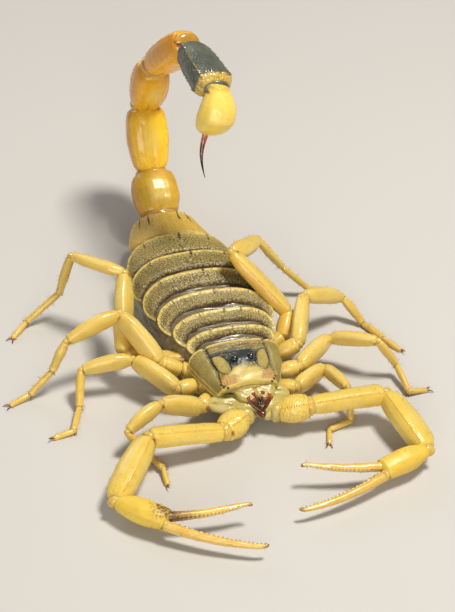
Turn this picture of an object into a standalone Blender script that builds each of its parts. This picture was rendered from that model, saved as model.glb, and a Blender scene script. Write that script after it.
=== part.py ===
"""Desert scorpion, a life-size still model standing on its eight feet.

The head looks along -Y, the tail rises at +Y and arches forward over the back, and the animal's
left side is at +X. Sizes in the tables are millimetres. MM turns them into Blender's metres.
"""
import math

import bmesh
import bpy
import numpy as np
from mathutils import Vector

MM = 0.001

# ---------------------------------------------------------------- driving dimensions, in mm
JOINT_GAP = 0.2        # between two pieces of one limb
PLATE_GAP = 0.3        # between the big plates of the body

CARAPACE_FRONT_Y = -9.6   # front and rear edges of the head shield
CARAPACE_REAR_Y = -2.0
CARAPACE_FRONT_WIDTH = 6.6
CARAPACE_REAR_WIDTH = 12.2
CARAPACE_RIM_Z = 4.1   # level of the shield's lower edge
EYE_DIAMETER = 0.85
EYE_SPACING = 2.16
EYE_Y = -5.9
EYE_Z = 7.15

TERGITE_LENGTHS = (2.3, 3.0, 3.6, 4.3, 4.8, 5.2, 8.4)
UNDERSIDE_Z = 1.5      # level of the sternum between the legs
HIP_ROOT_Z = 3.0       # level of the inner ends of the hips
FOOT_AXIS_Z = 0.18     # level of the middle of each foot's tip

METASOMA_LENGTHS = (7.2, 9.8, 8.6, 9.9, 10.9)
METASOMA_WIDTHS = (6.5, 5.8, 5.1, 4.9, 5.1)
METASOMA_HEIGHTS = (5.3, 5.0, 4.7, 4.3, 4.0)
VESICLE_LENGTH = 6.2
VESICLE_WIDTH = 5.0
VESICLE_HEIGHT = 4.6
VESICLE_SWELL = 0.6    # how far the bulb sags below a straight line from end to end
ACULEUS_LENGTH = 5.7
ACULEUS_BOW = 0.55     # how far the sting arcs above a straight line from base to point

# trochanter, femur, patella, tibia, basitarsus, telotarsus of leg pairs 1 to 4
LEG_LENGTHS = {
    1: (2.2, 6.0, 5.7, 4.2, 3.4, 2.6),
    2: (2.6, 7.2, 6.8, 4.8, 4.4, 2.8),
    3: (3.0, 8.2, 7.8, 4.6, 4.3, 3.0),
    4: (3.8, 11.3, 8.0, 6.6, 6.0, 3.4),
}
LEG_SCALE = {1: 0.92, 2: 0.97, 3: 1.0, 4: 1.06}      # thickness of each pair
PALP_LENGTHS = (4.2, 10.1, 10.2, 7.1, 10.0)          # trochanter, femur, patella, hand, fixed finger
MOVABLE_FINGER_LENGTH = 12.2

# ---------------------------------------------------------------- the pose
# Each pair of angles is a segment's heading, turned from +X towards +Y, and its rise, in degrees.
# The last segment of a leg has only a heading: its rise brings the foot down to the floor.
LEG_POSE = {
    ("right", 1): ((-4.9, -7.4, 3.0), ((232, 5), (184, 20), (207, -15), (334, -50), (289, 4)), 267),
    ("right", 2): ((-5.8, -5.0, 3.4), ((192, 3), (130, 13), (175, -8), (253, -48), (246, -2)), 189),
    ("right", 3): ((-6.9, -1.9, 3.7), ((169, 22), (128, 37), (191, -15), (197, -63), (189, -43)), 198),
    ("right", 4): ((-9.9, 1.0, 3.9), ((172, 11), (75, 34), (137, -1), (162, -76), (187, -38)), 224),
    ("left", 1): ((4.8, -7.4, 3.0), ((334, 4), (33, -3), (283, 8), (264, -50), (195, -1)), 250),
    ("left", 2): ((5.6, -5.1, 3.4), ((356, 12), (37, 2), (323, 14), (343, -54), (274, -17)), 5),
    ("left", 3): ((6.4, -2.0, 3.7), ((0, 27), (66, 13), (19, -25), (316, -43), (292, 1)), 301),
    ("left", 4): ((8.0, 0.9, 3.9), ((59, 25), (141, 40), (43, -18), (0, -54), (347, -44)), 341),
}
# trochanter, femur, patella, hand and fixed finger, then the movable finger's heading and rise
PALP_POSE = {
    "right": ((-1.5, -11.6, 2.75), ((218, 5), (182, 8), (231, -12), (318, 1), (356, 3)), (331, -2)),
    "left": ((3.2, -11.7, 2.75), ((346, 13), (357, 2), (281, -8), (196, -1), (169, 5)), (194, -2)),
}
# rise of each tail segment, turned from +Y over the top, and its lean to the left
TAIL_BASE = (-0.6, 29.6, 4.7)
TAIL_POSE = ((31, 2), (62, 0), (110, 2.5), (133, 14), (184, 5), (256, -15), (236, -9))

# ---------------------------------------------------------------- the trunk's stations
# place along the body, centre's x, half width, top, level of the widest point, bottom
TRUNK_STATIONS = (
    (-2.0, 0.0, 6.2, 7.6, 4.6, 2.0),
    (0.0, -0.1, 7.0, 7.8, 4.6, 2.0),
    (4.0, -0.5, 8.3, 8.6, 4.6, 1.6),
    (8.0, -0.8, 8.8, 9.1, 4.6, 1.3),
    (13.0, -1.1, 8.5, 9.0, 4.6, 1.2),
    (18.0, -1.3, 7.3, 8.4, 4.6, 1.3),
    (23.0, -1.3, 5.7, 7.7, 4.6, 1.6),
    (27.0, -1.0, 4.4, 6.6, 4.5, 2.0),
    (29.6, -0.6, 3.3, 6.1, 4.4, 2.4),
)

COLOURS = {            # base colour, roughness
    "leg_yellow": ((0.78, 0.60, 0.18), 0.38),
    "palp_yellow": ((0.76, 0.56, 0.14), 0.35),
    "back_olive": ((0.26, 0.21, 0.06), 0.5),
    "tail_amber": ((0.74, 0.42, 0.07), 0.36),
    "tail_dark": ((0.05, 0.05, 0.035), 0.42),
    "venom_yellow": ((0.82, 0.62, 0.16), 0.32),
    "sting_brown": ((0.13, 0.02, 0.01), 0.25),
    "eye_black": ((0.01, 0.012, 0.018), 0.08),
    "belly_tan": ((0.60, 0.48, 0.20), 0.45),
}


# ---------------------------------------------------------------- scene and materials
def empty_scene():
    """Remove whatever is in the scene."""
    for obj in list(bpy.data.objects):
        bpy.data.objects.remove(obj, do_unlink=True)


def make_collection(name):
    collection = bpy.data.collections.new(name)
    bpy.context.scene.collection.children.link(collection)
    return collection


def make_material(name):
    colour, roughness = COLOURS[name]
    material = bpy.data.materials.new(name)
    material.use_nodes = True
    shader = material.node_tree.nodes["Principled BSDF"]
    shader.inputs["Base Color"].default_value = (*colour, 1.0)
    shader.inputs["Roughness"].default_value = roughness
    shader.inputs["Metallic"].default_value = 0.0
    return material


# ---------------------------------------------------------------- directions, curves and rings
def heading(yaw, rise):
    """Unit vector turned yaw degrees from +X towards +Y and raised by rise degrees."""
    yaw, rise = math.radians(yaw), math.radians(rise)
    return np.array([math.cos(yaw) * math.cos(rise), math.sin(yaw) * math.cos(rise), math.sin(rise)])


def unit(vector):
    return vector / np.linalg.norm(vector)


def through(place, stations, column):
    """Smooth value of one column of a station table, by cubic pieces that share their slopes."""
    table = np.array(stations, float)
    places, values = table[:, 0], table[:, column]
    slopes = np.gradient(values, places)
    k = int(np.clip(np.searchsorted(places, place) - 1, 0, len(places) - 2))
    span = places[k + 1] - places[k]
    t = (place - places[k]) / span
    start = values[k] * (1 + 2 * t) * (1 - t) ** 2 + slopes[k] * span * t * (1 - t) ** 2
    end = values[k + 1] * (3 - 2 * t) * t ** 2 + slopes[k + 1] * span * t ** 2 * (t - 1)
    return start + end


def squircle(count, power):
    """Points of the unit superellipse with this power, as cosine-like and sine-like columns."""
    angle = 2 * np.pi * (np.arange(count) + 0.5) / count
    across, along = np.cos(angle), np.sin(angle)
    return (np.sign(across) * np.abs(across) ** (2 / power),
            np.sign(along) * np.abs(along) ** (2 / power))


def flat_ring(y, centre_x, half_width, top, middle, bottom, count=20, power=2.5):
    """Upright ring across the body: one superellipse arc above its widest level, one below."""
    across, along = squircle(count, power)
    height = np.where(along > 0, top - middle, middle - bottom)
    return np.stack([centre_x + half_width * across, np.full(count, y), middle + height * along], 1)


def frames_along(directions, side):
    """A sideways vector for each direction, each carried to the next by the smallest turn."""
    side = unit(side - directions[0] * np.dot(side, directions[0]))
    sides = [side]
    for before, after in zip(directions, directions[1:]):
        turn = Vector(before).rotation_difference(Vector(after))
        side = np.array(turn @ Vector(sides[-1]))
        sides.append(unit(side - after * np.dot(side, after)))
    return sides


class Limb:
    """A chain of straight segments, with a sideways vector and a mitre plane at every joint."""

    def __init__(self, start, lengths, directions, side):
        self.directions = [unit(d) for d in directions]
        self.lengths = lengths
        steps = np.array([d * n for d, n in zip(self.directions, lengths)])
        self.joints = np.vstack([start, np.array(start) + np.cumsum(steps, axis=0)])
        self.sides = frames_along(self.directions, side)
        self.mitres = [self.directions[0]]
        for before, after in zip(self.directions, self.directions[1:]):
            self.mitres.append(unit(before + after))
        self.mitres.append(self.directions[-1])

    def ring(self, segment, t, half_width, half_height, count, power, joint=None, gap=0.0):
        """Ring at fraction t of a segment, or slid along the segment onto a joint's mitre plane."""
        direction, side = self.directions[segment], self.sides[segment]
        up = np.cross(side, direction)
        centre = self.joints[segment] + direction * self.lengths[segment] * t
        across, along = squircle(count, power)
        points = centre + np.outer(half_width * across, side) + np.outer(half_height * along, up)
        if joint is not None:
            normal = self.mitres[joint]
            plane = self.joints[joint] + direction * gap
            slide = ((plane - points) @ normal) / np.dot(direction, normal)
            points = points + np.outer(slide, direction)
        return points

    def reach(self, segment, joint, radius):
        """Fraction of a segment that a mitred end of this radius takes up."""
        cosine = abs(np.dot(self.directions[segment], self.mitres[joint]))
        return radius * math.sqrt(1 - min(1.0, cosine) ** 2) / cosine / self.lengths[segment]

    def rings(self, first, last, profiles, count=8, power=2.2, gap=JOINT_GAP):
        """Rings of the piece from segment first to last, each with a profile of (t, width, height)."""
        rings = []
        for segment in range(first, last + 1):
            profile = profiles[segment - first]
            for k, (t, half_width, half_height) in enumerate(profile):
                at_start, at_end = k == 0, k == len(profile) - 1
                radius = max(half_width, half_height)
                if at_start and segment > first:
                    continue
                if at_start or at_end:
                    joint = segment if at_start else segment + 1
                    outer = at_start or segment == last
                    shift = (gap / 2 if at_start else -gap / 2) if outer else 0.0
                    rings.append(self.ring(segment, t, half_width, half_height, count, power,
                                           joint, shift))
                    continue
                low = self.reach(segment, segment, radius) + 0.04
                high = 1 - self.reach(segment, segment + 1, radius) - 0.04
                t = min(max(t, low), max(high, low + 0.01))
                rings.append(self.ring(segment, t, half_width, half_height, count, power))
        return rings


# ---------------------------------------------------------------- solids
def loft(name, rings, material, collection):
    """Closed solid through rings of equal point counts, with flat ends, its faces outward."""
    rings = np.array(rings) * MM
    count = rings.shape[1]
    mesh = bpy.data.meshes.new(name)
    k, j = np.meshgrid(np.arange(len(rings) - 1), np.arange(count), indexing="ij")
    across = (j + 1) % count
    quads = np.stack([k * count + j, k * count + across,
                      (k + 1) * count + across, (k + 1) * count + j], -1).reshape(-1, 4)
    caps = [list(range(count))[::-1], list(range((len(rings) - 1) * count, len(rings) * count))]
    mesh.from_pydata(rings.reshape(-1, 3).tolist(), [], quads.tolist() + caps)
    solid = bmesh.new()
    solid.from_mesh(mesh)
    bmesh.ops.triangulate(solid, faces=[f for f in solid.faces if len(f.verts) == 4])
    bmesh.ops.recalc_face_normals(solid, faces=solid.faces)
    if solid.calc_volume(signed=True) < 0:
        bmesh.ops.reverse_faces(solid, faces=solid.faces)
    solid.to_mesh(mesh)
    solid.free()
    mesh.shade_smooth()
    mesh.set_sharp_from_angle(angle=math.radians(40))
    mesh.materials.append(material)
    obj = bpy.data.objects.new(name, mesh)
    collection.objects.link(obj)
    return obj


def cut_below(obj, z):
    """Cut a solid off at a level, leaving a small flat to stand on."""
    solid = bmesh.new()
    solid.from_mesh(obj.data)
    geometry = solid.verts[:] + solid.edges[:] + solid.faces[:]
    cut = bmesh.ops.bisect_plane(solid, geom=geometry, plane_co=(0, 0, z), plane_no=(0, 0, -1),
                                 clear_outer=True)
    rim = [e for e in cut["geom_cut"] if isinstance(e, bmesh.types.BMEdge)]
    bmesh.ops.contextual_create(solid, geom=rim)
    bmesh.ops.recalc_face_normals(solid, faces=solid.faces)
    solid.to_mesh(obj.data)
    solid.free()


def unite(obj, others):
    """Boolean union of a solid with others, which are then removed."""
    for other in others:
        joined = obj.modifiers.new(other.name, "BOOLEAN")
        joined.operation = "UNION"
        joined.solver = "EXACT"
        joined.object = other
    bpy.context.view_layer.update()
    evaluated = obj.evaluated_get(bpy.context.evaluated_depsgraph_get())
    mesh = bpy.data.meshes.new_from_object(evaluated)
    obj.modifiers.clear()
    obj.data = mesh
    for other in others:
        bpy.data.objects.remove(other, do_unlink=True)


# ---------------------------------------------------------------- trunk
def carapace_rings(grow=0.0):
    """Sections of the head shield, or of a shape that stands clear of it all round."""
    rear_y, front_y = CARAPACE_REAR_Y - PLATE_GAP / 2, CARAPACE_FRONT_Y
    stations = ((front_y, CARAPACE_FRONT_WIDTH / 2, 6.1), (-8.6, 4.1, 6.7), (-6.8, 5.0, 7.05),
                (-4.9, 5.7, 7.35), (rear_y, CARAPACE_REAR_WIDTH / 2, 7.5))
    rings = []
    for y in (front_y, -9.3, -8.5, -7.2, -5.6, -4.0, rear_y):
        place = y - grow if y == front_y else y + grow if y == rear_y else y
        rings.append(flat_ring(place, 0.0, through(y, stations, 1) + grow,
                               through(y, stations, 2) + grow, CARAPACE_RIM_Z + 0.5,
                               CARAPACE_RIM_Z - grow, power=2.6))
    return rings


def build_carapace(collection, materials):
    """The head shield: narrow and low in front, wide and high behind, with a flat lower edge."""
    return loft("carapace", carapace_rings(), materials["back_olive"], collection)


def build_eyes(collection, materials):
    """The two median eyes, bosses on the middle of the head shield."""
    for name, side in (("eye_median_right", -1), ("eye_median_left", 1)):
        mesh = bpy.data.meshes.new(name)
        ball = bmesh.new()
        bmesh.ops.create_uvsphere(ball, u_segments=10, v_segments=6, radius=EYE_DIAMETER / 2 * MM)
        centre = Vector((side * EYE_SPACING / 2, EYE_Y, EYE_Z + EYE_DIAMETER * 0.62)) * MM
        bmesh.ops.translate(ball, verts=ball.verts, vec=centre)
        ball.to_mesh(mesh)
        ball.free()
        mesh.shade_smooth()
        mesh.materials.append(materials["eye_black"])
        collection.objects.link(bpy.data.objects.new(name, mesh))


def trunk_ring(y, scale=1.0, floor_z=None, grow=0.0, count=20):
    """Section of the abdomen, scaled about its middle, and with a flat floor if one is given."""
    centre_x, half_width, top, middle, bottom = [through(y, TRUNK_STATIONS, c) for c in range(1, 6)]
    top = middle + (top - middle) * scale + grow
    bottom = middle - (middle - bottom) * scale
    if floor_z is not None:
        middle, bottom = floor_z + 0.6, floor_z - grow
    return flat_ring(y, centre_x, half_width * scale + grow, top, middle, bottom, count)


def mesosoma_rings(number, grow=0.0):
    """Sections of one ring of the abdomen, stepped down behind the plate in front of it."""
    start = CARAPACE_REAR_Y + sum(TERGITE_LENGTHS[:number - 1])
    end = start + TERGITE_LENGTHS[number - 1]
    floor_z = CARAPACE_RIM_Z if number < 3 else None
    places = ((start + PLATE_GAP / 2, 0.955), (0.6 * start + 0.4 * end, 0.99),
              (end - 0.55, 1.0), (end - PLATE_GAP / 2, 0.985))
    rings = [trunk_ring(y, scale, floor_z, grow) for y, scale in places]
    rings[0][:, 1] -= grow
    rings[-1][:, 1] += grow
    return rings


def build_mesosoma(collection, materials):
    """Seven rings of the abdomen, each with its plates above and below as one piece."""
    for number in range(1, len(TERGITE_LENGTHS) + 1):
        loft(f"mesosoma_{number}", mesosoma_rings(number), materials["back_olive"], collection)


# ---------------------------------------------------------------- tail
def tail_limb():
    directions = []
    for rise, lean in TAIL_POSE:
        rise, lean = math.radians(rise), math.radians(lean)
        directions.append(np.array([math.sin(lean), math.cos(lean) * math.cos(rise),
                                    math.cos(lean) * math.sin(rise)]))
    lengths = METASOMA_LENGTHS + (VESICLE_LENGTH, ACULEUS_LENGTH)
    tail = Limb(TAIL_BASE, lengths, directions, np.array([1.0, 0.0, 0.0]))
    tail.mitres[0] = np.array([0.0, 1.0, 0.0])
    return tail


def build_tail(collection, materials):
    """Five barrel-like tail segments, the venom vesicle and the curved sting."""
    tail = tail_limb()
    for k in range(5):
        half_width, half_height = METASOMA_WIDTHS[k] / 2, METASOMA_HEIGHTS[k] / 2
        profile = [(t, half_width * s, half_height * s) for t, s in
                   ((0, 0.72), (0.13, 0.88), (0.35, 0.98), (0.62, 1.0), (0.86, 0.96), (1, 0.76))]
        name = "tail_dark" if k == 4 else "tail_amber"
        rings = tail.rings(k, k, [profile], count=14, power=2.6)
        loft(f"metasoma_{k + 1}", rings, materials[name], collection)
    half_width, half_height = VESICLE_WIDTH / 2, VESICLE_HEIGHT / 2
    profile = [(t, half_width * s, half_height * s) for t, s in
               ((0, 0.5), (0.12, 0.78), (0.3, 0.97), (0.5, 1.0), (0.7, 0.86), (0.88, 0.56), (1, 0.3))]
    rings = tail.rings(5, 5, [profile], count=14, power=2.1)
    swell = np.cross(tail.directions[5], tail.sides[5]) * VESICLE_SWELL
    for ring, (t, _, _) in zip(rings, profile):
        ring += swell * 4 * t * (1 - t)
    loft("telson_vesicle", rings, materials["venom_yellow"], collection)
    build_aculeus(tail, collection, materials)


def build_aculeus(tail, collection, materials):
    """The sting: a round horn that tapers along an arc bent towards the underside."""
    direction, side = tail.directions[6], tail.sides[6]
    up = np.cross(side, direction)
    base, length = tail.joints[6], ACULEUS_LENGTH
    rings = [tail.ring(6, 0, 0.52, 0.52, 8, 2.0, 6, JOINT_GAP / 2)]
    for t in (0.2, 0.4, 0.6, 0.8, 1.0):
        radius = 0.52 - 0.3 * t ** 0.8
        centre = base + direction * length * t + up * ACULEUS_BOW * 4 * t * (1 - t)
        across, along = squircle(8, 2.0)
        rings.append(centre + np.outer(radius * across, side) + np.outer(radius * along, up))
    loft("aculeus", rings, materials["sting_brown"], collection)


# ---------------------------------------------------------------- legs
def leg_limb(side, number):
    """The chain of one leg, with the last segment's rise worked out so that the foot lands."""
    hip, pose, last_heading = LEG_POSE[side, number]
    root = np.array([0.0, 0.6 * hip[1] - 2.4, HIP_ROOT_Z])
    coxa = np.array(hip) - root
    lengths = (np.linalg.norm(coxa),) + LEG_LENGTHS[number]
    directions = [unit(coxa)] + [heading(*angles) for angles in pose]
    ankle_z = root[2] + sum(d[2] * n for d, n in zip(directions, lengths))
    rise = math.degrees(math.asin((FOOT_AXIS_Z - ankle_z) / lengths[-1]))
    directions.append(heading(last_heading, rise))
    return Limb(root, lengths, directions, np.cross(directions[2], (0.0, 0.0, 1.0)))


def build_legs(collection, materials):
    """Eight legs, each of a femur with its trochanter, a patella, and a foot of three segments."""
    yellow = materials["leg_yellow"]
    for side, number in LEG_POSE:
        leg = leg_limb(side, number)
        name = f"leg_{side}_{number}"
        s = LEG_SCALE[number]
        trochanter = [(0, 0.74 * s, 0.9 * s), (0.5, 0.9 * s, 1.1 * s), (1, 0.7 * s, 0.9 * s)]
        femur = [(0, 0.7 * s, 0.9 * s), (0.16, 0.82 * s, 1.2 * s), (0.5, 0.88 * s, 1.25 * s),
                 (0.86, 0.8 * s, 1.08 * s), (1, 0.6 * s, 0.7 * s)]
        patella = [(0, 0.55 * s, 0.65 * s), (0.2, 0.74 * s, 1.02 * s), (0.5, 0.76 * s, 1.06 * s),
                   (0.85, 0.64 * s, 0.84 * s), (1, 0.5 * s, 0.58 * s)]
        tibia = [(0, 0.5 * s, 0.56 * s), (0.3, 0.55 * s, 0.64 * s), (0.8, 0.5 * s, 0.56 * s),
                 (1, 0.46 * s, 0.5 * s)]
        basitarsus = [(0, 0.46 * s, 0.5 * s), (0.5, 0.44 * s, 0.48 * s), (1, 0.38 * s, 0.42 * s)]
        telotarsus = [(0, 0.38 * s, 0.42 * s), (0.5, 0.38 * s, 0.42 * s), (1, 0.3, 0.3)]
        loft(f"{name}_femur", leg.rings(1, 2, [trochanter, femur]), yellow, collection)
        loft(f"{name}_patella", leg.rings(3, 3, [patella]), yellow, collection)
        foot = loft(f"{name}_foot", leg.rings(4, 6, [tibia, basitarsus, telotarsus]),
                    yellow, collection)
        cut_below(foot, 0.0)


# ---------------------------------------------------------------- pedipalps
def palp_limb(side):
    """The chain of one pedipalp, from its hip inside the head to the fixed finger."""
    base, pose, _ = PALP_POSE[side]
    root = np.array([0.35 * base[0], -6.4, HIP_ROOT_Z])
    coxa = np.array(base) - root
    lengths = (np.linalg.norm(coxa),) + PALP_LENGTHS
    directions = [unit(coxa)] + [heading(*angles) for angles in pose]
    return Limb(root, lengths, directions, np.cross(directions[2], (0.0, 0.0, 1.0)))


def finger_rings(start, direction, across, length, sizes, bow, count=10):
    """Rings of a finger that bows sideways along an arc and tapers to a blunt tip."""
    rings = []
    upward = unit(np.cross(across, direction))
    across = unit(np.cross(direction, upward))
    for t, half_width, half_height in sizes:
        centre = start + direction * length * t + across * bow * 4 * t * (1 - t)
        a, b = squircle(count, 2.0)
        rings.append(centre + np.outer(half_width * a, across) + np.outer(half_height * b, upward))
    return rings


def build_palps(collection, materials):
    """Two pedipalps: trochanter, femur, patella, then the claw's hand and its two fingers."""
    yellow = materials["palp_yellow"]
    for side in PALP_POSE:
        palp = palp_limb(side)
        name = f"palp_{side}"
        trochanter = [(0, 1.4, 1.1), (0.35, 1.8, 1.6), (0.7, 1.75, 1.6), (1, 1.2, 1.2)]
        femur = [(0, 0.95, 0.95), (0.1, 1.1, 1.05), (0.4, 1.17, 1.1), (0.8, 1.27, 1.15),
                 (0.93, 1.2, 1.1), (1, 0.95, 0.95)]
        patella = [(0, 0.95, 0.95), (0.12, 1.3, 1.25), (0.35, 1.6, 1.42), (0.65, 1.66, 1.46),
                   (0.9, 1.4, 1.25), (1, 0.95, 0.95)]
        pieces = (("trochanter", trochanter, 2.2), ("femur", femur, 3.0), ("patella", patella, 2.6))
        for k, (piece, profile, power) in enumerate(pieces, 1):
            rings = palp.rings(k, k, [profile], count=12, power=power)
            loft(f"{name}_{piece}", rings, yellow, collection)
        build_claw(side, palp, name, collection, yellow)


def build_claw(side, palp, name, collection, yellow):
    """The hand, a swollen barrel with the fixed finger at its inner corner, and the movable finger."""
    hand, fixed = palp.directions[4], palp.directions[5]
    movable = heading(*PALP_POSE[side][2])
    outward = unit(movable - fixed - hand * np.dot(movable - fixed, hand))
    count = 10
    profile = [(0, 0.9, 0.9), (0.14, 1.3, 1.25), (0.4, 1.64, 1.52), (0.7, 1.6, 1.48),
               (0.9, 1.45, 1.25), (1, 1.4, 1.1)]
    palp.mitres[5] = hand
    palp.sides[4] = outward
    rings = palp.rings(4, 4, [profile], count=count, power=2.2)
    tip = palp.joints[5]
    sizes = [(0.14, 0.6, 0.64), (0.35, 0.52, 0.56), (0.6, 0.44, 0.47),
             (0.85, 0.35, 0.37), (1.0, 0.25, 0.25)]
    root = tip - outward * 0.7
    rings.append(palp.ring(4, 1, 0.75, 0.7, count, 2.0) - outward * 0.7)
    rings += finger_rings(root, fixed, outward, PALP_LENGTHS[4], sizes, 0.4, count)
    loft(f"{name}_chela", rings, yellow, collection)
    sizes = [(0.0, 0.58, 0.62), (0.1, 0.6, 0.65), (0.35, 0.53, 0.57), (0.6, 0.45, 0.48),
             (0.85, 0.35, 0.37), (1.0, 0.25, 0.25)]
    start = tip + outward * 0.8 + hand * (JOINT_GAP + 0.2)
    rings = finger_rings(start, movable, outward, MOVABLE_FINGER_LENGTH, sizes, 0.5, count)
    loft(f"{name}_movable_finger", rings, yellow, collection)


# ---------------------------------------------------------------- underside and mouth
def build_coxosternum(collection, cutters, materials):
    """The underside of the head: a plate with the ten hips of the legs and pedipalps joined to it."""
    top = CARAPACE_RIM_Z - PLATE_GAP
    stations = ((-9.4, 2.6, 2.2), (-7.0, 3.4, UNDERSIDE_Z), (-3.5, 4.4, UNDERSIDE_Z),
                (-PLATE_GAP / 2, 5.4, UNDERSIDE_Z))
    rings = [flat_ring(y, 0.0, through(y, stations, 1), top, 3.2, through(y, stations, 2), 12, 3.0)
             for y in (-9.4, -7.0, -3.5, -PLATE_GAP / 2)]
    plate = loft("coxosternum", rings, materials["belly_tan"], collection)
    limbs = [(leg_limb(side, number), 0.76 * LEG_SCALE[number], 0.92 * LEG_SCALE[number])
             for side, number in LEG_POSE]
    limbs += [(palp_limb(side), 1.45, 1.05) for side in PALP_POSE]
    hips = []
    for number, (limb, half_width, half_height) in enumerate(limbs, 1):
        profile = [(0, half_width, half_height), (0.6, half_width * 1.15, half_height * 1.1),
                   (1, half_width, half_height)]
        hips.append(loft(f"hip_{number}", limb.rings(0, 0, [profile]), materials["belly_tan"],
                         collection))
    unite(plate, hips)
    for name, rings in (("carapace_clearance", carapace_rings(PLATE_GAP)),
                        ("mesosoma_1_clearance", mesosoma_rings(1, PLATE_GAP)),
                        ("mesosoma_2_clearance", mesosoma_rings(2, PLATE_GAP))):
        cutter = loft(name, rings, materials["belly_tan"], cutters)
        cutter.hide_render = True
        cutter.display_type = "WIRE"
        cut = plate.modifiers.new(name, "BOOLEAN")
        cut.operation = "DIFFERENCE"
        cut.solver = "EXACT"
        cut.object = cutter


def build_chelicerae(collection, materials):
    """The two jaws in front of the head, boxes that narrow to short fingers."""
    for name, side in (("chelicera_right", -1), ("chelicera_left", 1)):
        start = np.array([side * 1.42, CARAPACE_FRONT_Y - PLATE_GAP, 5.2])
        jaw = Limb(start, (2.1,), (heading(268 + side * 2, -22),), np.array([1.0, 0.0, 0.0]))
        jaw.mitres[0] = np.array([0.0, -1.0, 0.0])
        profile = [(0, 1.15, 0.75), (0.2, 1.32, 0.85), (0.55, 1.3, 0.85), (0.75, 1.05, 0.65),
                   (0.9, 0.7, 0.45), (1, 0.4, 0.3)]
        loft(name, jaw.rings(0, 0, [profile], count=10, power=2.8), materials["palp_yellow"],
             collection)


def build_pectines(collection, materials):
    """The two combs under the front of the abdomen, flat blades that sweep out and back."""
    for name, side in (("pectine_right", -1), ("pectine_left", 1)):
        start = np.array([side * 1.2, 2.6, 1.15])
        comb = Limb(start, (8.2,), (heading(90 - side * 42, 0),), np.array([1.0, 0.0, 0.0]))
        profile = [(0, 0.8, 0.3), (0.3, 1.05, 0.3), (0.7, 0.85, 0.28), (1, 0.35, 0.26)]
        loft(name, comb.rings(0, 0, [profile], power=3.0), materials["belly_tan"], collection)


# ---------------------------------------------------------------- the whole animal
def place_origin(collection, cutters):
    """Hang every piece on an empty, set so that the outline's bottom centre is the world's origin."""
    corners = np.array([corner for obj in collection.objects for corner in obj.bound_box])
    low, high = corners.min(axis=0), corners.max(axis=0)
    origin = bpy.data.objects.new("origin", None)
    origin.location = (-(low[0] + high[0]) / 2, -(low[1] + high[1]) / 2, -low[2])
    for obj in [*collection.objects, *cutters.objects]:
        obj.parent = origin
    bpy.context.scene.collection.objects.link(origin)


def main():
    empty_scene()
    collection = make_collection("desert_scorpion")
    cutters = make_collection("cutters")
    materials = {name: make_material(name) for name in COLOURS}
    build_carapace(collection, materials)
    build_eyes(collection, materials)
    build_mesosoma(collection, materials)
    build_tail(collection, materials)
    build_palps(collection, materials)
    build_legs(collection, materials)
    build_coxosternum(collection, cutters, materials)
    build_chelicerae(collection, materials)
    build_pectines(collection, materials)
    bpy.context.view_layer.update()
    place_origin(collection, cutters)


main()
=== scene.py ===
# %% [markdown]
# # A desert scorpion, life size
# The animal stands on eight thin legs with its claws spread and its tail arched over its back. Its
# skin is a set of hard plates joined by soft folded membranes, so the model is made the same way:
# every plate, limb segment, membrane, eye, claw and hair is a mesh of its own. The solids loaded
# here give the places, and each new piece covers the solids that it stands for.

# %% Load the solids as a fixed frame
import math

import bpy
import numpy as np
from mathutils import Matrix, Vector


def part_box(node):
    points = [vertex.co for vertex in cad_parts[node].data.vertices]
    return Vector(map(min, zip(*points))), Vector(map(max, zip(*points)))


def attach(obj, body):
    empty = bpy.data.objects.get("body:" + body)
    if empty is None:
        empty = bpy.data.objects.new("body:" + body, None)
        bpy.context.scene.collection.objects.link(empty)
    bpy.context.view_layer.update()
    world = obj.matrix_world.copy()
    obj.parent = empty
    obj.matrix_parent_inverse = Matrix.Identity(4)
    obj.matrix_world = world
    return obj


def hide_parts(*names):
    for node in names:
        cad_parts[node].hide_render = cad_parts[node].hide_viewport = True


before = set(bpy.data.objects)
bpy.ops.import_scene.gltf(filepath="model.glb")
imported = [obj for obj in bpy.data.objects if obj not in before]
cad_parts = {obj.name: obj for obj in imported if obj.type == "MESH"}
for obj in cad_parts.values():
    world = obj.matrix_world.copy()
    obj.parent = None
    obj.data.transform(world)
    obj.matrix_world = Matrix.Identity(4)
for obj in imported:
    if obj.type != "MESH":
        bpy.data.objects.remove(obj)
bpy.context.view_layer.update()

print("solids:", len(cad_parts), "nodes")

# %% [markdown]
# ## Units and a starting point
# Sizes in this lesson are millimetres, because a scorpion's details are fractions of one. They are
# measured from a point on the floor, just behind the head shield's rear edge: the animal is laid
# out around it, with the head towards -Y, the tail towards +Y and its left side towards +X. The
# point is found from the shield's solid, so the pieces follow the solids if those are shifted.

# %% Units and the anchor
MM = 0.001
SHIELD_REAR = -2.15
shield_low, shield_high = (np.array(corner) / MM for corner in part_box("carapace"))
ANCHOR = np.array([(shield_low[0] + shield_high[0]) / 2, shield_high[1] - SHIELD_REAR, 0.0])
print("anchor, mm:", ANCHOR.round(2))

# %% [markdown]
# ## From a grid of points to a mesh
# Every surface below is a grid: rows run along the piece, columns run across or around it. Blender
# could loft such a grid with curves and skin modifiers, but an array of points is easier to bend,
# swell and wrinkle, since each change is one line of arithmetic on the whole array. This cell turns
# a grid into a mesh. A grid that wraps is closed round, and gets a pole point at each end. A grid
# that doesn't wrap is a plate, to which a Solidify modifier gives its thickness.

# %% Grid helpers
PIECES = []


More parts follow.
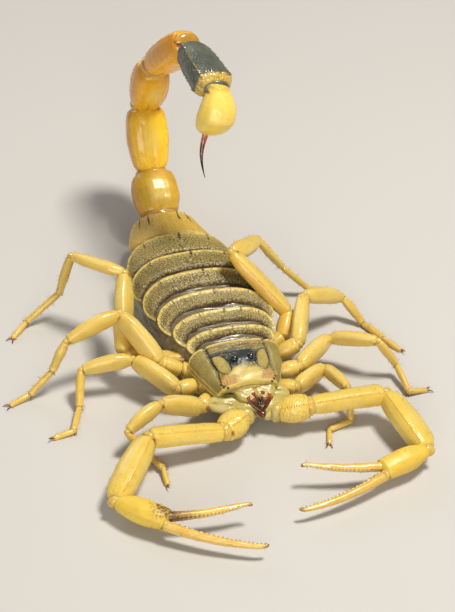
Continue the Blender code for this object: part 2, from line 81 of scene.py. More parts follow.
def fill_mesh(name, points, loops, starts, uv, fields):
    """Mesh from flat arrays: points, the corners of all faces in turn, and each face's start."""
    mesh = bpy.data.meshes.new(name)
    mesh.vertices.add(len(points))
    mesh.vertices.foreach_set("co", ((points + ANCHOR) * MM).astype(np.float32).ravel())
    mesh.loops.add(len(loops))
    mesh.loops.foreach_set("vertex_index", loops.astype(np.int32))
    mesh.polygons.add(len(starts))
    mesh.polygons.foreach_set("loop_start", starts.astype(np.int32))
    mesh.update(calc_edges=True)
    if uv is not None:
        layer = mesh.uv_layers.new(name=uv[0])
        layer.data.foreach_set("uv", uv[1].astype(np.float32).ravel())
    for label, values in (fields or {}).items():
        attribute = mesh.attributes.new(label, "FLOAT", "POINT")
        attribute.data.foreach_set("value", np.asarray(values, np.float32).ravel())
    mesh.shade_smooth()
    return mesh


def grid_faces(rows, columns, wrap):
    """Corners and face starts of a grid, with a fan of triangles at each end where it wraps."""
    i, j = np.meshgrid(np.arange(rows - 1), np.arange(columns if wrap else columns - 1),
                       indexing="ij")
    right = (j + 1) % columns
    quads = np.stack([i * columns + j, (i + 1) * columns + j,
                      (i + 1) * columns + right, i * columns + right], -1).reshape(-1, 4)
    u, v = (j + np.zeros(j.shape)) / columns, i / (rows - 1)
    du, dv = 1 / columns, 1 / (rows - 1)
    uv = np.stack([np.stack([u, v], -1), np.stack([u, v + dv], -1),
                   np.stack([u + du, v + dv], -1), np.stack([u + du, v], -1)], -2).reshape(-1, 2)
    if not wrap:
        return quads.ravel(), np.arange(len(quads)) * 4, uv
    ring = np.arange(columns)
    after, first, last = (ring + 1) % columns, rows * columns, rows * columns + 1
    top = (rows - 1) * columns
    fans = np.concatenate([np.stack([np.full(columns, first), ring, after], -1),
                           np.stack([np.full(columns, last), top + after, top + ring], -1)])
    fan_u = np.concatenate([np.stack([ring, ring, ring + 1], -1),
                            np.stack([ring, ring + 1, ring], -1)]) / columns
    fan_v = np.concatenate([np.zeros((columns, 3)), np.ones((columns, 3))])
    loops = np.concatenate([quads.ravel(), fans.ravel()])
    starts = np.concatenate([np.arange(len(quads)) * 4,
                             len(quads) * 4 + np.arange(len(fans)) * 3])
    return loops, starts, np.concatenate([uv, np.stack([fan_u, fan_v], -1).reshape(-1, 2)])


def finish_piece(name, mesh, material, replaced):
    """Object for a mesh, with its material, its body and the solids it stands for."""
    mesh.materials.append(material)
    obj = bpy.data.objects.new(name, mesh)
    bpy.context.scene.collection.objects.link(obj)
    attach(obj, "root")
    if replaced:
        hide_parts(*replaced)
    PIECES.append(obj)
    return obj


def grid_normals(grid, wrap=True):
    """Outward unit normals: the along-step crossed with the around-step, by central differences."""
    along = np.gradient(grid, axis=0)
    if wrap:
        around = np.roll(grid, -1, axis=1) - np.roll(grid, 1, axis=1)
    else:
        around = np.gradient(grid, axis=1)
    normal = np.cross(along, around)
    return normal / np.maximum(np.linalg.norm(normal, axis=-1, keepdims=True), 1e-9)


def grid_piece(name, grid, material, replaced=(), wrap=True, fields=None, thickness=0.12):
    """Piece from a grid: closed with two poles if it wraps, or else a plate of this thickness."""
    rows, columns = grid.shape[:2]
    points = grid.reshape(-1, 3)
    fields = {label: np.broadcast_to(value, (rows, columns)).ravel()
              for label, value in (fields or {}).items()}
    loops, starts, uv = grid_faces(rows, columns, wrap)
    if wrap:
        points = np.vstack([points, grid[0].mean(axis=0), grid[-1].mean(axis=0)])
        fields = {label: np.append(value, [value[:columns].mean(), value[-columns:].mean()])
                  for label, value in fields.items()}
        corner = points[loops[starts[:(rows - 1) * columns, None] + np.arange(4)]]
        spread = np.cross(corner[:, 2] - corner[:, 0], corner[:, 3] - corner[:, 1])
        if (spread * (corner.mean(axis=1) - points.mean(axis=0))).sum() < 0:
            raise ValueError(f"{name} is inside out")
    mesh = fill_mesh(name, points, loops, starts, ("surface", uv), fields)
    obj = finish_piece(name, mesh, material, replaced)
    if not wrap:
        wall = obj.modifiers.new("wall", "SOLIDIFY")
        wall.thickness = thickness * MM
        wall.offset = -1.0
    return obj


# %% [markdown]
# ## Curves, grains and ripples
# Three small formulas shape everything. A profile is a smooth curve through a few stations. Grains
# are the rounded bumps of the shell: the plane is cut in square cells, each cell holds one point at
# a place that a sine hash picks, and a bump rises round each point. Ripples are a sum of sines in
# random directions, which gives soft unevenness without any texture image.

# %% Profile, grain and ripple formulas
def through(t, places, values):
    """Smooth curve through stations: cubic pieces that share their slopes where they meet."""
    places, values = np.asarray(places, float), np.asarray(values, float)
    slopes = np.gradient(values, places)
    k = np.clip(np.searchsorted(places, t) - 1, 0, len(places) - 2)
    span = places[k + 1] - places[k]
    s = np.clip((t - places[k]) / span, 0.0, 1.0)
    start = (1 + 2 * s) * (1 - s) ** 2 * values[k] + s * (1 - s) ** 2 * span * slopes[k]
    return start + (3 - 2 * s) * s ** 2 * values[k + 1] + s ** 2 * (s - 1) * span * slopes[k + 1]


def hashed(i, j, seed):
    """Number from 0 to 1 that depends on two whole numbers: the fraction of a large sine."""
    value = np.sin(i * 127.1 + j * 311.7 + seed * 74.7) * 43758.5453
    return value - np.floor(value)


def grains(x, y, size, seed, roundness=0.2):
    """Rounded bumps, 0 to 1: one minus the squared distance to the nearest scattered point."""
    x, y = x / size, y / size
    cell_x, cell_y = np.floor(x), np.floor(y)
    nearest = np.full(np.broadcast(x, y).shape, 9.0)
    for step_x in (-1, 0, 1):
        for step_y in (-1, 0, 1):
            i, j = cell_x + step_x, cell_y + step_y
            away_x = i + 0.15 + 0.7 * hashed(i, j, seed) - x
            away_y = j + 0.15 + 0.7 * hashed(i, j, seed + 9) - y
            nearest = np.minimum(nearest, away_x ** 2 + away_y ** 2)
    return np.clip(1 - nearest / roundness, 0.0, 1.0)


def ripples(points, scale, seed, count=9):
    """Soft unevenness, about -1 to 1: the mean of sine waves in random directions and phases."""
    chance = np.random.default_rng(seed)
    directions = chance.normal(size=(count, 3)) / scale
    phases = chance.uniform(0, 2 * np.pi, count)
    return np.sin(points @ directions.T * 2 * np.pi / 1.7 + phases).mean(axis=-1) * 2


def bell(distance, width):
    """One at zero distance, falling off to nothing over about twice the width."""
    return np.exp(-(distance / width) ** 2)


def clamp(value):
    """The value where it lies between 0 and 1, and the nearer of those two elsewhere."""
    return np.clip(value, 0, 1)


def unit(vector):
    """The vector over its own length, which leaves its direction."""
    vector = np.asarray(vector, float)
    return vector / np.linalg.norm(vector, axis=-1, keepdims=True)


def squircle(angle, power):
    """Cosine-like and sine-like parts of a superellipse, a ring between a circle and a box."""
    across, upward = np.cos(angle), np.sin(angle)
    return (np.sign(across) * np.abs(across) ** (2 / power),
            np.sign(upward) * np.abs(upward) ** (2 / power))


# %% [markdown]
# ## Shader groups
# The shell has one look with many colours: a mottled ground colour, paler or darker places painted
# by masks, fine pits and a soft gloss. Building that in every material would repeat dozens of
# nodes, so the shared part is a node group with named sockets. It hands out a colour, a height and
# a roughness that change over the surface. The shader itself stays in each material.

# %% Node helpers and the shell group
def add_node(tree, kind, **inputs):
    """New node with its sockets set by name, a spare space in a name written as an underscore."""
    node = tree.nodes.new(kind)
    for label, value in inputs.items():
        node.inputs[label.replace("_", " ")].default_value = value
    return node


def mask_node(tree, label):
    """Attribute node that reads one of the masks stored on the mesh."""
    node = tree.nodes.new("ShaderNodeAttribute")
    node.attribute_name = label
    return node.outputs["Fac"]


MIX_FACTOR, MIX_UNDER, MIX_OVER, MIX_COLOUR = 0, 6, 7, 2   # the colour sockets of a Mix node


def blend(tree, under, over, factor):
    """Mix node from one colour to another by a factor, and its result."""
    node = tree.nodes.new("ShaderNodeMix")
    node.data_type = "RGBA"
    tree.links.new(under, node.inputs[MIX_UNDER])
    tree.links.new(over, node.inputs[MIX_OVER])
    tree.links.new(factor, node.inputs[MIX_FACTOR])
    return node.outputs[MIX_COLOUR]


def stretch(tree, value, low, high, out_low=0.0, out_high=1.0):
    """Map Range node: low to high becomes out_low to out_high."""
    node = tree.nodes.new("ShaderNodeMapRange")
    tree.links.new(value, node.inputs["Value"])
    for label, number in (("From Min", low), ("From Max", high),
                          ("To Min", out_low), ("To Max", out_high)):
        node.inputs[label].default_value = number
    return node.outputs["Result"]


def compute(tree, operation, first, second):
    """Math node on two sockets or numbers."""
    node = tree.nodes.new("ShaderNodeMath")
    node.operation = operation
    for socket, value in zip(node.inputs, (first, second)):
        if isinstance(value, (int, float)):
            socket.default_value = value
        else:
            tree.links.new(value, socket)
    return node.outputs[0]


def build_shell_group():
    """Ground colour mottled by two noises, then grain, pale, rim and dark paint by their masks."""
    group = bpy.data.node_groups.new("shell finish", "ShaderNodeTree")
    for label in ("Ground", "Mottle", "Grain", "Pale", "Rim", "Dark"):
        group.interface.new_socket(label, in_out="INPUT", socket_type="NodeSocketColor")
    for label in ("Mottle Scale", "Pit Scale", "Base Roughness"):
        group.interface.new_socket(label, in_out="INPUT", socket_type="NodeSocketFloat")
    group.interface.new_socket("Color", in_out="OUTPUT", socket_type="NodeSocketColor")
    group.interface.new_socket("Height", in_out="OUTPUT", socket_type="NodeSocketFloat")
    group.interface.new_socket("Roughness", in_out="OUTPUT", socket_type="NodeSocketFloat")
    given, result = group.nodes.new("NodeGroupInput"), group.nodes.new("NodeGroupOutput")
    place = group.nodes.new("ShaderNodeTexCoord").outputs["Object"]
    blotch = add_node(group, "ShaderNodeTexNoise", Detail=5.0, Roughness=0.65)
    speck = add_node(group, "ShaderNodeTexNoise", Detail=2.0, Roughness=0.5)
    pit = group.nodes.new("ShaderNodeTexVoronoi")
    for node in (blotch, speck, pit):
        group.links.new(place, node.inputs["Vector"])
    group.links.new(given.outputs["Mottle Scale"], blotch.inputs["Scale"])
    group.links.new(given.outputs["Pit Scale"], speck.inputs["Scale"])
    group.links.new(given.outputs["Pit Scale"], pit.inputs["Scale"])
    colour = blend(group, given.outputs["Ground"], given.outputs["Mottle"],
                   stretch(group, blotch.outputs["Fac"], 0.38, 0.66))
    for label, mask in (("Grain", "grain"), ("Pale", "pale"), ("Rim", "rim"), ("Dark", "dark")):
        frayed = compute(group, "ADD", mask_node(group, mask),
                         stretch(group, speck.outputs["Fac"], 0.3, 0.7, -0.14, 0.14))
        edge = stretch(group, frayed, 0.18, 0.82)
        colour = blend(group, colour, given.outputs[label], edge)
    group.links.new(colour, result.inputs["Color"])
    pits = stretch(group, pit.outputs["Distance"], 0.1, 0.6)
    height = compute(group, "ADD", pits, speck.outputs["Fac"])
    group.links.new(height, result.inputs["Height"])
    rough = compute(group, "ADD", given.outputs["Base Roughness"],
                    stretch(group, blotch.outputs["Fac"], 0.3, 0.7, -0.07, 0.07))
    group.links.new(rough, result.inputs["Roughness"])
    return group


SHELL_GROUP = build_shell_group()
PIT_DEPTH = 0.00004            # height that the finest pits and specks stand for, in metres


def shell_material(name, ground, mottle, grain, pale, rim, dark, roughness=0.38, mottle_scale=420,
                   pit_scale=3200, relief=0.12, see_in=0.0, coat=0.0):
    """Material of a hard or soft skin: the shell group's colour, roughness and height."""
    material = bpy.data.materials.new(name)
    material.use_nodes = True
    tree = material.node_tree
    shader = tree.nodes["Principled BSDF"]
    group = tree.nodes.new("ShaderNodeGroup")
    group.node_tree = SHELL_GROUP
    for label, colour in (("Ground", ground), ("Mottle", mottle), ("Grain", grain),
                          ("Pale", pale), ("Rim", rim), ("Dark", dark)):
        group.inputs[label].default_value = (*colour, 1.0)
    group.inputs["Mottle Scale"].default_value = mottle_scale
    group.inputs["Pit Scale"].default_value = pit_scale
    group.inputs["Base Roughness"].default_value = roughness
    bump = add_node(tree, "ShaderNodeBump", Strength=relief, Distance=PIT_DEPTH)
    tree.links.new(group.outputs["Color"], shader.inputs["Base Color"])
    tree.links.new(group.outputs["Roughness"], shader.inputs["Roughness"])
    tree.links.new(group.outputs["Height"], bump.inputs["Height"])
    tree.links.new(bump.outputs["Normal"], shader.inputs["Normal"])
    shader.inputs["Coat Weight"].default_value = coat
    shader.inputs["Coat Roughness"].default_value = 0.12
    if see_in:
        shader.inputs["Subsurface Weight"].default_value = see_in
        shader.inputs["Subsurface Radius"].default_value = (1.0, 0.6, 0.2)
        shader.inputs["Subsurface Scale"].default_value = 0.0008
    return material


# %% [markdown]
# ## The colours of the shell
# The back is olive and granular with straw-yellow edges. The limbs are a clear straw yellow. The
# tail goes from greenish gold at its root to amber, its fifth segment is nearly black, and the
# venom bulb is bright yellow. The skin between the plates is grey, wet-looking and folded.

# %% Materials
BACK = shell_material("back plate", (0.185, 0.138, 0.034), (0.30, 0.228, 0.060),
                      grain=(0.53, 0.41, 0.125), pale=(0.32, 0.25, 0.08), rim=(0.60, 0.45, 0.105),
                      dark=(0.050, 0.022, 0.008), roughness=0.42, relief=0.3, coat=0.06)
LAST_BACK = shell_material("last back plate", (0.58, 0.350, 0.046), (0.68, 0.43, 0.065),
                           grain=(0.62, 0.44, 0.10), pale=(0.50, 0.36, 0.08),
                           rim=(0.62, 0.44, 0.085), dark=(0.09, 0.036, 0.010), roughness=0.40,
                           relief=0.3, coat=0.06)
HEAD = shell_material("head shield", (0.24, 0.180, 0.042), (0.33, 0.255, 0.075),
                      grain=(0.50, 0.27, 0.07), pale=(0.55, 0.41, 0.095), rim=(0.64, 0.47, 0.12),
                      dark=(0.020, 0.026, 0.030), roughness=0.42, relief=0.3, coat=0.06)
SKIN = shell_material("folded skin", (0.19, 0.150, 0.075), (0.12, 0.092, 0.046),
                      grain=(0.30, 0.26, 0.15), pale=(0.26, 0.22, 0.12), rim=(0.38, 0.29, 0.11),
                      dark=(0.05, 0.032, 0.018), roughness=0.34, relief=0.3, coat=0.25,
                      mottle_scale=260)
BELLY = shell_material("belly plate", (0.60, 0.47, 0.19), (0.70, 0.57, 0.27),
                       grain=(0.75, 0.62, 0.3), pale=(0.78, 0.66, 0.36), rim=(0.66, 0.50, 0.18),
                       dark=(0.20, 0.10, 0.03), roughness=0.4, see_in=0.1)
print("materials so far:", len(bpy.data.materials))

# %% [markdown]
# ## The trunk and its folded skin
# Behind the head shield the abdomen is a soft sack, widest a quarter of the way along and wide
# here, as on an animal that is well fed or carries young. Seven plates cover its back and five
# its belly. Between the plates and along the flanks the sack itself shows. It is made first, as
# one closed surface: at every place along the body the section is two superellipse arcs, one
# above the widest level and one below, and the folds are ripples stretched along the flanks and
# across the back.

# %% Trunk stations and the point formula
# place along the body: middle, half width, top, widest level, bottom
TRUNK = np.array([
    (-9.3, 0.0, 2.4, 5.3, 4.2, 2.6), (-6.5, 0.0, 4.3, 6.3, 4.2, 1.9),
    (-4.0, 0.0, 5.3, 7.0, 4.3, 1.6), (-2.0, 0.0, 6.2, 7.6, 4.6, 1.6),
    (0.0, -0.1, 7.0, 7.8, 4.6, 1.7), (4.0, -0.5, 8.3, 8.6, 4.6, 1.6),
    (8.0, -0.8, 8.8, 9.1, 4.6, 1.3), (13.0, -1.1, 8.5, 9.0, 4.6, 1.2),
    (18.0, -1.3, 7.3, 8.4, 4.6, 1.3), (23.0, -1.3, 5.7, 7.7, 4.6, 1.6),
    (27.0, -1.0, 4.4, 6.6, 4.5, 2.0), (29.6, -0.6, 3.3, 6.1, 4.4, 2.4)])
SACK_ENDS = (-9.1, 29.3)                                # where the folded skin starts and ends


def trunk_point(y, angle, lift=0.0):
    """Point at a place and an angle from +X over the top: the section grown by lift."""
    centre, half_width, top, level, bottom = [through(y, TRUNK[:, 0], TRUNK[:, c])
                                              for c in range(1, 6)]
    across, upward = squircle(angle, 2.5)
    height = np.where(upward > 0, top - level, level - bottom)
    return np.stack([centre + (half_width + lift) * across, y + 0 * across,
                     level + (height + lift) * upward], -1)


def build_trunk_skin():
    """The sack: the trunk section held in by half a millimetre, with folds of two directions."""
    y, angle = np.meshgrid(np.linspace(*SACK_ENDS, 380),
                           np.linspace(0, 2 * np.pi, 200, endpoint=False), indexing="ij")
    ends = (1 - np.abs(np.interp(y, SACK_ENDS, (-1, 1))) ** 30) ** 0.5
    flank = np.abs(np.cos(angle)) ** 3
    smooth = trunk_point(y, angle, -0.55)
    long_folds = ripples(np.stack([angle * 16, y * 0.8, 0 * y], -1), 1.1, 3)
    cross_folds = ripples(np.stack([smooth[..., 0] * 0.35, y * 4.5, 0 * y], -1), 1.5, 5)
    folds = 0.13 * flank * long_folds + 0.12 * (1 - flank) * cross_folds
    shrink = 3.0 * (1 - ends)
    grid = trunk_point(y, angle, -0.5 + folds - shrink)
    # Painted shade and highlight: the dark mask darkens the troughs of the folds, and the pale mask
    # is paler on the flanks and lightens the crests of the cross folds.
    crease = clamp(-(flank * long_folds + (1 - flank) * cross_folds) - 0.2)
    pale = clamp(flank * 0.4 + 0.25 * cross_folds)
    return grid_piece("trunk_skin", grid, SKIN,
                      fields={"dark": 0.7 * crease, "pale": pale})


build_trunk_skin()

# %% [markdown]
# ## Seven back plates
# Each back plate rides over the skin like a roof tile. Its front edge dips under the fold behind
# the plate before it, its middle is covered in fine grains, and its rear edge is a raised, smooth
# yellow bead that runs round both ends, where the plate reaches forward as a rounded lobe. Rows of
# larger grains make keels that end in a dark tick on the bead. A plate is one grid: one parameter
# runs across the back by angle, the other from the front edge to the rear edge.

# %% Back plates
PLATE_LENGTHS = (2.3, 3.0, 3.6, 4.3, 4.8, 5.2, 8.4)
PLATE_REACH = (63, 64, 67, 70, 74, 77, 78)              # half angle each plate spans, in degrees
PLATE_SWEEP = (0.9, 1.5, 2.1, 2.4, 2.3, 1.9, 0.7)       # how far the plate's ends reach forward
BARE_SHARE = (0.40, 0.36, 0.32, 0.26, 0.18, 0.10, 0.02)   # share of the length that is bare skin
LAST_PLATE = len(PLATE_LENGTHS)
KEELS = {1: (-0.5, -0.2, 0.0, 0.2, 0.5), 2: (-0.5, -0.2, 0.0, 0.2, 0.5)}
USUAL_KEELS = (-0.42, 0.0, 0.42)
LAST_KEELS = (-0.5, -0.24, 0.24, 0.5)


def build_back_plate(number):
    """One back plate: trunk point lifted by slope, bead, keels and grains, by its edges."""
    start = SHIELD_REAR + 0.15 + sum(PLATE_LENGTHS[:number - 1])
    length = PLATE_LENGTHS[number - 1]
    across, down = np.meshgrid(np.linspace(-1, 1, 220), np.linspace(0, 1, 52))
    reach = math.radians(PLATE_REACH[number - 1])
    sweep = PLATE_SWEEP[number - 1] * np.abs(across) ** 2.2
    front = start + length * BARE_SHARE[number - 1] * (1 - np.abs(across) ** 5) - 0.15 - sweep
    rear = start + length - 0.10 - 0.4 * np.abs(across) ** 6 - sweep - 0.9 * (number == LAST_PLATE)
    middle, half = (front + rear) / 2, (rear - front) / 2
    outline = np.maximum((1 - np.abs(across) ** 9), 0.0) ** 0.5 * 0.9 + 0.1
    y = middle + (2 * down - 1) * half * outline
    angle = np.pi / 2 - across * reach * (1 + 0.03 * (1 - down))
    radius = through(y, TRUNK[:, 0], TRUNK[:, 2])
    to_rear = (1 - down) * 2 * half * outline
    to_front = down * 2 * half * outline
    to_side = (1 - np.abs(across)) * reach * radius
    edge = -0.25 * np.log(np.exp(-to_rear / 0.25) + np.exp(-to_side / 0.25))
    x_place = across * reach * radius
    grainy = grains(x_place, y, 0.42, number + 60, 0.3)
    bead = bell(edge - 0.38, 0.33)
    inner = bell(to_side - 1.25, 0.16) * clamp(to_rear / 0.6) * 0.55
    field = clamp((edge - 0.5) / 0.4) * clamp((to_front - 0.1) / 0.3)
    lobe = clamp((1.25 - to_side) / 0.3)
    grain = grains(x_place, y, 0.27, number, 0.17) * field * (1 - 0.6 * lobe)
    fine = grains(x_place, y, 0.2, number + 20) * clamp(edge / 0.3)
    places = KEELS.get(number, LAST_KEELS if number == LAST_PLATE else USUAL_KEELS)
    keel, tick = np.zeros(y.shape), np.zeros(y.shape)
    for k, place in enumerate(places):
        lean = 0.35 * np.sign(place + 0.01) * down
        row = bell(x_place - place * reach * radius - lean, 0.20)
        keel += row * clamp((down - 0.35) / 0.3)
        narrow = bell(x_place - place * reach * radius - lean, 0.10)
        strength = 1.0 if abs(place) < 0.1 or number == LAST_PLATE else 0.75
        tick += strength * narrow * clamp((down - 0.5) / 0.2)
    lift = (0.02 + 0.22 * down - 0.75 * bell(to_front, 0.42) + 0.17 * bead + 0.10 * inner
            - 0.55 * bell(edge, 0.10) + 0.10 * keel * (0.5 + grain) + 0.13 * grain + 0.025 * fine
            + 0.05 * ripples(np.stack([x_place, y, 0 * y], -1), 2.2, number))
    # The dark mask is partly painted shade: a painted shadow along the front edge, where the plate
    # dips under the fold, and painted shade in the pits between the grains. The ticks are the
    # plates' own dark marks.
    pits = 0.65 if number == LAST_PLATE else 1.25 if number > 3 else 0.85
    dark = (1.25 * bell(to_front, 0.34) * (1 - lobe) + tick
            + pits * clamp(0.42 - grain) * field * (1 - 0.6 * lobe))
    bright = (0.45 + 0.85 * grainy) * (1.25 if number < LAST_PLATE else 0.5)
    waver = ripples(np.stack([x_place, y, 0 * y], -1), 2.5, 8)
    rays = 0.5 + 0.5 * np.cos(across * 46 + 1.5 * waver)
    rear_glow = (0.3 if number > 3 else 0.12) * bell(to_rear - 0.9, 0.5)
    warm = (0.25 * (number == 6) + 0.5 * rays * (number == LAST_PLATE) + rear_glow) * field
    colour = {"rim": clamp(bright * bead + inner - 0.9 * bell(edge, 0.07)),
              "dark": clamp(dark),
              "grain": clamp(clamp(grain - 0.3) * 0.9 + 0.25 * keel + warm),
              "pale": 0.5 * lobe}
    plate = trunk_point(y, angle, lift)
    return grid_piece(f"back_plate_{number}", plate[:, ::-1],
                      BACK if number < LAST_PLATE else LAST_BACK,
                      replaced=(f"mesosoma_{number}",), wrap=False,
                      fields={label: value[:, ::-1] for label, value in colour.items()})


for number in range(1, LAST_PLATE + 1):
    plate = build_back_plate(number)
    print(plate.name, "faces:", len(plate.data.polygons))

# %% [markdown]
# ## The head shield
# One plate covers the head. It is narrow in front and as wide as the abdomen behind, with a double
# raised yellow rim, a dark groove inside the rim, coarse grains outside the groove, a smooth pale
# oval on each side, a pigmented hill with the two middle eyes, and a cream lobe in front. The grid
# runs from the front edge to the rear edge, and across from the right rim to the left rim. Height
# is the sum of a broad vault and bells round each feature, all in the grid's own parameters.

# %% Head shield
SHIELD = np.array([(-9.6, 3.3, 6.1), (-8.6, 4.1, 6.7), (-6.8, 5.0, 7.05), (-4.9, 5.7, 7.35),
                   (-2.15, 6.1, 7.5)])
SHIELD_RIM = 4.1
EYE_HILL_Y = -5.9
EYE_SPREAD = 1.08


def shield_point(y, angle, lift=0.0):
    """Point of the vault: a superellipse over the rim level, more boxy in front, grown by lift."""
    half_width = through(y, SHIELD[:, 0], SHIELD[:, 1])
    top = through(y, SHIELD[:, 0], SHIELD[:, 2])
    across, upward = squircle(angle, 2.6 + 1.3 * clamp((-7.2 - y) / 2))
    level = SHIELD_RIM + 0.5
    height = np.where(upward > 0, top - level, 1.4)
    return np.stack([(half_width + lift) * across, y + 0 * across,
                     level + (height + lift) * upward], -1)


def build_head_shield():
    """Vault plus rim beads, side grooves, ovals, eye hill, front lobe and grains."""
    across, down = np.meshgrid(np.linspace(-1, 1, 231), np.linspace(0, 1, 175))
    angle = np.pi / 2 - across * math.radians(99)
    inset = np.abs(across) ** 8
    front = -9.55 + 0.14 * bell(across, 0.16) + 0.9 * inset
    rear = -2.12 - 0.9 * np.abs(across) ** 3
    y = front + (rear - front) * down
    flat = shield_point(y, angle)
    x = flat[..., 0]
    arc = np.cumsum(np.linalg.norm(np.diff(flat, axis=1, prepend=flat[:, :1]), axis=-1), axis=1)
    place_x = arc - arc[:, 115:116]
    to_side = np.minimum(arc, arc[:, -1:] - arc)
    to_front, to_rear = y - front, rear - y
    edge = -0.2 * np.log(np.exp(-to_side / 0.2) + np.exp(-to_front / 0.2)
                         + np.exp(-to_rear / 0.2))
    uneven = ripples(np.stack([place_x, y, 0 * y], -1), 1.1, 19)
    hill = bell(x, 1.7) * bell(y - EYE_HILL_Y, 1.35)
    groove_x = 0.36 + 0.27 * (1 - down) ** 3
    groove = bell((np.abs(across) - groove_x + 0.012 * uneven) / 0.030, 1.0) * clamp(down * 5)
    oval_across = (np.abs(across) - 0.268 - 0.07 * (down - 0.5) + 0.010 * uneven) / 0.102
    oval_place = np.sqrt(oval_across ** 2 + ((down - 0.49) / 0.20) ** 2)
    oval = clamp(3.0 - 2.4 * oval_place)
    oval_edge = bell(oval_place - 1.22, 0.10)
    ahead = clamp((-6.85 - 0.08 * x ** 2 - y + 0.25 * uneven) / 0.7)
    lobe = ahead * clamp((2.35 - np.abs(x) + 0.5 * uneven) / 1.0)
    cheek = ahead * (1 - lobe) * (np.abs(across) < groove_x + 0.03)
    outside = clamp((np.abs(across) - groove_x - 0.03) / 0.05)
    behind = clamp((y + 5.0) / 0.5) * (1 - outside)
    smooth = clamp(oval + 0.6 * hill + 0.9 * lobe)
    coarse = grains(place_x, y, 0.36, 41, 0.18)
    fine = grains(place_x, y, 0.26, 42)
    field = clamp((edge - 0.3) / 0.3)
    rear_band = bell(to_rear - 0.55, 0.45)
    grain = field * (coarse * clamp(0.4 * outside + 1.2 * cheek + rear_band)
                     + 0.7 * fine * (1 - outside)) * (1 - smooth)
    bead = bell(edge - 0.2, 0.13) + 0.6 * bell(to_side - 0.85, 0.12) * clamp(to_rear)
    brow = bell(np.hypot(np.abs(x) - EYE_SPREAD, y - EYE_HILL_Y) - 0.55, 0.12)
    folds = behind * ripples(np.stack([x * 0.4, y * 3.2, 0 * y], -1), 1.6, 23)
    lift = (-0.05 + 0.40 * hill - 0.26 * groove - 0.10 * oval_edge + 0.05 * oval
            + 0.16 * lobe * bell(x, 2.6) + 0.08 * cheek + 0.15 * bead - 0.45 * bell(edge, 0.09)
            + 0.10 * grain + 0.10 * brow * bell(x, 2.0) + 0.11 * folds
            + 0.10 * outside + 0.05 * uneven)
    speckle = grains(place_x, y, 0.32, 44, 0.35)
    dark_patch = bell(x / 2.8, 0.9) * bell((y + 5.15) / 1.8, 0.9)
    dark_patch = clamp(1.25 * dark_patch * (0.55 + 0.6 * speckle + 0.35 * uneven) + 0.9 * bell(np.hypot(
        np.abs(x) - EYE_SPREAD, y - EYE_HILL_Y), 0.75)) * (1 - 0.9 * oval) * (1 - 0.8 * lobe)
    # Part of the dark mask is painted shade: in the troughs of the folds behind the eyes and
    # between the coarse grains of the cheeks.
    colour = {
        "rim": clamp(1.2 * bead + 0.12 * rear_band - 1.0 * bell(edge, 0.05)),
        "pale": clamp(1.0 * lobe + 0.44 * oval),
        "grain": clamp(grain * (0.35 + 0.9 * cheek + 0.3 * rear_band) + 0.38 * cheek),
        "dark": clamp(dark_patch + 0.6 * groove + 0.6 * oval_edge * (1 - lobe)
                        + 0.6 * clamp(-folds) + 0.5 * cheek * clamp(0.35 - coarse))}
    plate = shield_point(y, angle, lift)
    plate[..., 2] += 0.20 * hill
    return grid_piece("head_shield", plate[:, ::-1], HEAD, ("carapace",), wrap=False,
                      fields={label: value[:, ::-1] for label, value in colour.items()})


shield = build_head_shield()
print(shield.name, "faces:", len(shield.data.polygons))

# %% [markdown]
# ## Eyes
# Two glossy black middle eyes sit on the hill, and three small ones crowd each front corner. An eye
# is a dome with a clear hard cornea, so it is a ball sunk in a low ring of shell, black under a
# smooth coat. Balls are made by a grid whose rows run from pole to pole.

# %% Eyes
EYE = bpy.data.materials.new("eye")
EYE.use_nodes = True
eye_shader = EYE.node_tree.nodes["Principled BSDF"]
eye_shader.inputs["Base Color"].default_value = (0.004, 0.005, 0.006, 1.0)
eye_shader.inputs["Roughness"].default_value = 0.08
eye_shader.inputs["Coat Weight"].default_value = 1.0
eye_shader.inputs["Coat Roughness"].default_value = 0.02


def ball_grid(centre, radii, rows=32, columns=48):
    """Ball with its poles up and down: radii scale the sine and cosine of latitude."""
    tilt, turn = np.meshgrid(np.linspace(0.02, np.pi - 0.02, rows),
                             np.linspace(0, 2 * np.pi, columns, endpoint=False), indexing="ij")
    ball = np.stack([np.sin(tilt) * np.cos(turn), np.sin(tilt) * np.sin(turn), np.cos(tilt)], -1)
    return np.asarray(centre) + ball * np.asarray(radii)


for side, label in ((-1, "right"), (1, "left")):
    grid_piece(f"eye_median_{label}",
               ball_grid((EYE_SPREAD * side, EYE_HILL_Y, 7.72), (0.45, 0.47, 0.42)),
               EYE, (f"eye_median_{label}",))
    for k, (x, y, z) in enumerate(((2.95, -9.42, 6.0), (3.30, -9.08, 6.02), (3.60, -8.65, 6.03))):
        grid_piece(f"eye_side_{label}_{k + 1}",
                   ball_grid((x * side, y, z), (0.18, 0.19, 0.17), 16, 24), EYE)

# %% [markdown]
# ## Tubes along a path
# Limb segments, tail segments and fingers are all the same kind of surface: a section swept along a
# line, whose half width and half height follow a profile. Rows are packed closer at the two ends,
# where the surface rounds over. Keels and grains are lifts along the section's own direction, given
# as a function of the place along the line and of the angle round it. The angle is zero at the
# side, a quarter turn on top, and so on round.

# %% Tube helpers
def frame_of(start, end, side):
    """Direction, side and up of a segment, with side made square to the direction."""
    direction = unit(np.subtract(end, start))
    side = unit(np.asarray(side, float) - np.dot(side, direction) * direction)
    return direction, side, np.cross(side, direction)


def tube_places(rows, columns):
    """Grid of places along (0 to 1, closer at the ends) and of angles round."""
    even = np.linspace(0, 1, rows)
    along = 0.5 - 0.5 * np.cos(np.pi * even)
    return np.meshgrid(0.35 * even + 0.65 * along,
                       np.linspace(0, 2 * np.pi, columns, endpoint=False), indexing="ij")


